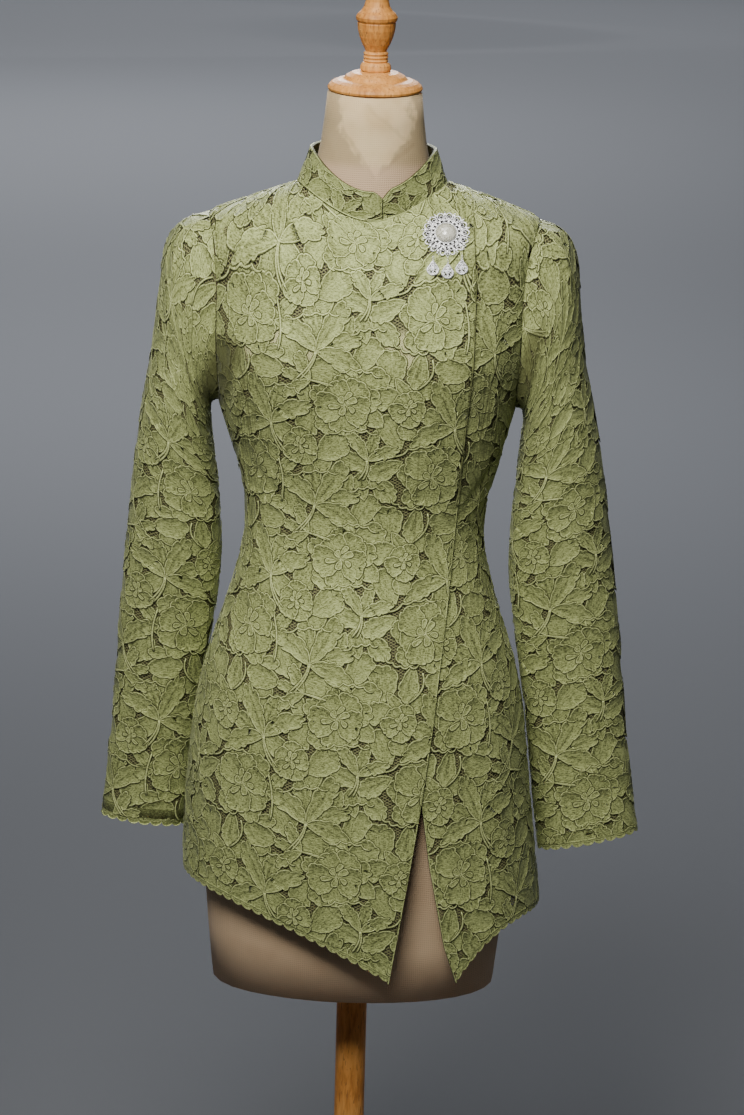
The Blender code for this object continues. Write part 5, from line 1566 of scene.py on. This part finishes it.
tree.links.new(spread_over(tree, grain, 0.3, 0.7, 0.60, 0.46), look["Roughness"])
TURNED = ("neck_cap", "finial", "pole", "base")
for name in TURNED:
    dress_node(name, wood)
print("wood on", len(TURNED), "nodes")

# %% [markdown]
# ## The brooch
# The brooch is modelled lying flat: across is X, up the blouse is Y and away from the cloth is Z. A gallery ring
# carries a row of open loops, pointed ones below, and clear stones sit round the pearl and on the loops. Every
# repeated shape is modelled once and copied. The finished plate is then laid on the CAD plate with one matrix,
# worked out from that solid's own faces. Each drop is a rimmed teardrop with stones, on its own body, so that it
# swings. It is modelled with its hinge at the middle, and its matrix takes that to the joint's place.

# %% Where the brooch and its drops lie
def flat_axes(node):
    """Across, up the cloth and away from it, for a flat CAD solid, from the faces of its front."""
    faces = frame["nodes"][node].data.polygons
    front = max(faces, key=lambda face: -face.normal.y * face.area).normal.copy()
    away = sum((face.normal * face.area for face in faces if face.normal.dot(front) > 0.99), Vector()).normalized()
    across = Vector((0.0, 0.0, 1.0)).cross(away).normalized()
    return across, away.cross(across), away


def reach_along(node, way):
    """The least and the most that a CAD solid reaches along a direction."""
    reach = [vertex.co.dot(way) for vertex in frame["nodes"][node].data.vertices]
    return min(reach), max(reach)


def lying(axes, place):
    """The matrix that lays a piece, modelled flat, along a CAD solid's axes."""
    return Matrix.Translation(place) @ Matrix(axes).transposed().to_4x4()


plate = flat_axes("brooch_rosette")
middle = [sum(reach_along("brooch_pearl", way)) / 2.0 for way in plate[:2]]  # the pearl sits in the plate's middle
BROOCH = lying(plate, Matrix(plate).transposed() @ Vector((*middle, reach_along("brooch_rosette", plate[2])[0])))
hinges = {joint["child"]: joint["pos_m"] for joint in frame["joints"]}
DROPS = {
    name: lying(flat_axes("drop_" + name), hinges["drop_" + name + "_body"]) for name in ("right", "middle", "left")
}
BROOCH_TURN = 4.0  # degrees
print("brooch at", np.round(BROOCH.translation, 4), "drops:", list(DROPS))

# %% Silver and stones
# The silver's colour is a fine noise ramp of painted glints, light and dark, and the same colour glows through
# emission: painted light.
silver, tree, look = new_material("glowing_silver", Metallic=0.1, Coat_Weight=0.5, Emission_Strength=0.22)
sparkle_noise = add_node(tree, "TexNoise", Vector=add_node(tree, "TexCoord", 3), Scale=900.0, Detail=2.0)
painted_sparkle = colour_ramp(tree, sparkle_noise, [(0.38, (0.16, 0.16, 0.15)), (0.48, (0.92, 0.92, 0.91)), (0.60, (1.0, 1.0, 1.0))])
tree.links.new(painted_sparkle, look["Base Color"])
tree.links.new(painted_sparkle, look["Emission Color"])
tree.links.new(spread_over(tree, sparkle_noise, 0.3, 0.7, 0.16, 0.34), look["Roughness"])
# A near-black silver, dark as tarnish and as painted shade: it fills the gaps between stones and the loops' holes, and
# the pits in each drop.
tarnish_and_shade, tree, look = new_material("tarnish_and_shade_silver", Roughness=0.7)
look["Base Color"].default_value = (0.022, 0.021, 0.018, 1.0)
# The stones' colour is a fine noise ramp of painted glints, and the same colour glows through emission: painted light.
clear_stone, tree, look = new_material("clear_stone", Metallic=0.2, Roughness=0.06, Coat_Weight=1.0,
                                       Emission_Strength=0.5)
glint_noise = add_node(tree, "TexNoise", Vector=add_node(tree, "TexCoord", 3), Scale=950.0, Detail=0.0)
glint = colour_ramp(tree, glint_noise, [(0.38, (0.06, 0.06, 0.07)), (0.45, (0.88, 0.89, 0.92)), (0.53, (1.0, 1.0, 1.0))])
tree.links.new(glint, look["Base Color"])
tree.links.new(glint, look["Emission Color"])
print("brooch materials:", silver.name, tarnish_and_shade.name, clear_stone.name)


# %% Building blocks
def modelled(material, smooth):
    """The object that a primitive operator has just made, with its place in its mesh, its material and shading."""
    made = bpy.context.object
    bpy.ops.object.transform_apply(location=True, rotation=False, scale=False)
    made.data.materials.append(material)
    if smooth:
        bpy.ops.object.shade_smooth()
    return made


def copied(source, matrix):
    """A copy with its own mesh, placed by a matrix."""
    made = source.copy()
    made.data = source.data.copy()
    made.data.transform(matrix)
    bpy.context.scene.collection.objects.link(made)
    return made


def placed(x, y, z, turn=0.0, size=(1.0, 1.0, 1.0)):
    """A place on the brooch, with a turn and a size, as a matrix."""
    return Matrix.Translation((x, y, z)) @ Matrix.Rotation(turn, 4, "Z") @ Matrix.Diagonal((*size, 1.0))


def joined(name, parts, matrix, body, node):
    """Joins parts into one piece, puts it in its place and lets it ride on its body."""
    bpy.ops.object.select_all(action="DESELECT")
    for part in parts:
        part.select_set(True)
    bpy.context.view_layer.objects.active = parts[0]
    bpy.ops.object.join()
    made = bpy.context.object
    made.name = name
    made.data.transform(matrix)
    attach(made, body)
    if node:
        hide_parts(node)
    print(name, len(made.data.polygons), "faces")
    return made


bpy.ops.object.select_all(action="DESELECT")
bpy.ops.mesh.primitive_torus_add(major_radius=0.0034, minor_radius=0.00062, major_segments=18, minor_segments=8)
loop = modelled(silver, True)
bpy.ops.mesh.primitive_cone_add(vertices=8, radius1=0.00135, radius2=0.00075, depth=0.0009)
stone = modelled(clear_stone, False)
bpy.ops.mesh.primitive_uv_sphere_add(segments=10, ring_count=6, radius=0.0008)
bead = modelled(silver, True)
# A dark, flattened bead: a pit of painted shade.
shade_pit = copied(bead, Matrix.Diagonal((0.9, 1.0, 0.5, 1.0)))
shade_pit.data.materials[0] = tarnish_and_shade
print("building blocks:", loop.name, stone.name, bead.name)

# %% Rosette: rings and plates
LOOPS = 14
LOOP_REACH, STONE_REACH, BEAD_REACH = 0.0190, 0.0212, 0.0235  # metres from the pearl's middle
parts = []
for radius, tube, z in ((0.0113, 0.0006, 0.0020), (0.0147, 0.0005, 0.0018)):
    bpy.ops.mesh.primitive_torus_add(major_radius=radius, minor_radius=tube, major_segments=64, minor_segments=8,
                                     location=(0.0, 0.0, z))
    parts.append(modelled(silver, True))
bpy.ops.mesh.primitive_cylinder_add(vertices=48, radius=0.0110, depth=0.0009, location=(0.0, 0.0, 0.00075))
parts.append(modelled(silver, True))
bpy.ops.object.shade_smooth_by_angle(angle=math.radians(40.0))
# A near-black disc behind the loops and stones, which paints their gaps and the loops' holes dark as shade.
bpy.ops.mesh.primitive_cylinder_add(vertices=48, radius=0.0206, depth=0.0006, location=(0.0, 0.0, 0.0005))
parts.append(modelled(tarnish_and_shade, False))
print("rings and plates:", len(parts))

# %% Rosette: loops, beads and stones
for i in range(LOOPS):
    angle = math.radians(BROOCH_TURN) + 2.0 * math.pi * i / LOOPS
    c, s = math.cos(angle), math.sin(angle)
    low = max(0.0, -s)
    reach, size = LOOP_REACH + 0.0008 * low ** 3, (1.12 + 0.30 * low ** 2, 0.98 - 0.20 * low, 1.0)
    parts.append(copied(loop, placed(reach * c, reach * s, 0.0013, angle, size)))
    parts.append(copied(loop, placed(0.0180 * c, 0.0180 * s, 0.0018, angle, (0.52, 0.46, 0.8))))
    tip = reach + 0.0034 * size[0] + 0.0002
    parts.append(copied(bead, placed(tip * c, tip * s, 0.0015)))
    half = angle + math.pi / LOOPS
    c, s = math.cos(half), math.sin(half)
    parts.append(copied(stone, placed(STONE_REACH * c, STONE_REACH * s, 0.0022, half, (0.95, 0.95, 1.0))))
    parts.append(copied(bead, placed(BEAD_REACH * c, BEAD_REACH * s, 0.0013)))
for count, radius, z, size in ((18, 0.0131, 0.0024, 0.92), (22, 0.0162, 0.0020, 0.80)):
    for i in range(count):
        angle = 2.0 * math.pi * i / count
        place = placed(radius * math.cos(angle), radius * math.sin(angle), z, angle, (size, size, 1.2))
        parts.append(copied(stone, place))
print("parts so far:", len(parts))

# %% Rosette: pointed loops below
TIP_STEP = 21.0  # degrees between two of them
for step in (-2, -1, 0, 1, 2):
    angle = math.radians(270.0 + BROOCH_TURN + TIP_STEP * step)
    c, s = math.cos(angle), math.sin(angle)
    reach, size = (0.0238, 0.78) if step == 0 else (0.0228, 0.60)
    petal_tip = copied(loop, Matrix.Diagonal((size * 1.35, size * 0.72, 1.0, 1.0)))
    for vertex in petal_tip.data.vertices:
        vertex.co.y *= 1.0 - 0.8 * max(0.0, vertex.co.x / (0.0045 * size))
    petal_tip.data.transform(placed(reach * c, reach * s, 0.0016, angle))
    parts.append(petal_tip)
    parts.append(copied(stone, placed((reach - 0.0036) * c, (reach - 0.0036) * s, 0.0022, angle, (0.9, 0.9, 1.0))))
joined("brooch_rosette_silver", parts, BROOCH, GARMENT, "brooch_rosette")

# %% Drops
DROP_CENTRE, DROP_RADIUS = -0.0130, 0.0050  # a drop's round end, below its hinge
DROP_STONES = [  # x, y and size
    (0.0, -0.0164, 1.0), (-0.0032, -0.0146, 0.7), (0.0032, -0.0146, 0.7), (0.0, -0.0128, 1.7), (-0.0028, -0.0116, 0.9),
    (0.0028, -0.0116, 0.9), (0.0, -0.0094, 1.3), (-0.0018, -0.0086, 0.7), (0.0018, -0.0086, 0.7), (0.0, -0.0064, 0.9),
    (0.0, -0.0046, 0.6),
]


def teardrop(made, centre, top):
    """Draws a ring's upper half up to a soft point."""
    for vertex in made.data.vertices:
        x, y, z = vertex.co
        up = max(0.0, y - centre) / DROP_RADIUS
        vertex.co.x = x * (1.0 - 0.55 * min(up, 1.15) ** 1.6)
        vertex.co.y = y + (top - centre - DROP_RADIUS) * min(up, 1.1) ** 2.0


for name, matrix in DROPS.items():
    parts = []
    for radius, tube, z, top in ((0.0054, 0.0010, 0.0, -0.0058), (0.0038, 0.0004, 0.0004, -0.0076)):
        bpy.ops.mesh.primitive_torus_add(major_radius=radius, minor_radius=tube, major_segments=40,
                                         minor_segments=8, location=(0.0, DROP_CENTRE, z))
        rim = modelled(silver, True)
        teardrop(rim, DROP_CENTRE, top)
        parts.append(rim)
    for x, y, size in DROP_STONES:
        parts.append(copied(stone, placed(x, y, 0.0006, 0.3, (size, size, 1.0))))
    # Two dark half-beads low in each drop, painted shade where its holes are.
    for side in (-1.0, 1.0):
        parts.append(copied(shade_pit, placed(0.0019 * side, -0.0153, 0.0013, 0.0, (1.3, 1.0, 1.0))))
    parts.append(copied(loop, placed(0.0, -0.0018, 0.0, 0.0, (0.24, 0.55, 0.6))))
    joined("drop_" + name + "_silver", parts, matrix, "drop_" + name + "_body", "drop_" + name)
for block in (loop, stone, bead, shade_pit):
    bpy.data.objects.remove(block)

# %% [markdown]
# ## The pearl
# A pearl's light comes from thin layers: it is white where it faces the eye and darker round its rim. A ramp over
# the facing angle paints that into its colour, as painted highlight and painted shade, without any glow, under a
# clear coat, and a soft bloom keeps it from looking plastic.

# %% Pearl
pearl, tree, look = new_material("pearl_lustre", Roughness=0.16, Coat_Weight=0.8, Coat_Roughness=0.05,
                                 Sheen_Weight=0.3)
facing = add_node(tree, "LayerWeight", 1, Blend=0.45)
bloom = add_node(tree, "TexNoise", Vector=add_node(tree, "TexCoord", 3), Scale=620.0, Detail=2.0, Distortion=0.4)
# Painted highlight where the pearl faces the camera and painted shade round its rim.
facing_highlight_and_shade = colour_ramp(tree, facing, [
    (0.0, (0.800, 0.780, 0.680)), (0.40, (0.560, 0.545, 0.445)), (1.0, (0.220, 0.205, 0.150)),
])
shade = colour_ramp(tree, bloom, [(0.38, (0.52, 0.52, 0.45)), (0.52, (0.92, 0.92, 0.90)), (0.64, (1.0, 1.0, 1.0))])
tree.links.new(mix_colour(tree, 1.0, facing_highlight_and_shade, shade, "MULTIPLY"), look["Base Color"])
dress_node("brooch_pearl", pearl)
print("pearl:", pearl.name)

# %% [markdown]
# ## Riding and flat sizes
# Each dressed piece takes the place of its CAD node and rides on the same body. Each cut piece's flat size in
# metres is printed: its widest width, its length and the area inside its edges.

for name, piece in pieces.items():
    with_pieces = lace[name] + bindings.get(name, [])
    for node, made in edgings.items():
        if node.startswith(name) or node.replace("cuff", "sleeve").startswith(name):
            with_pieces.append(made)
            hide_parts(node)
    for made in [grounds[name], *with_pieces]:
        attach(made, GARMENT)
    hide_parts(name)
    cut = grounds[name].data.uv_layers["cut"].data
    places = np.zeros(len(cut) * 2, dtype=np.float32)
    cut.foreach_get("uv", places)
    width, length = np.ptp(places.reshape(-1, 2), axis=0)
    min(piece.area(), float(width * length))
    print(name, "flat", round(float(width), 3), "x", round(float(length), 3), "area", round(piece.area(), 4))
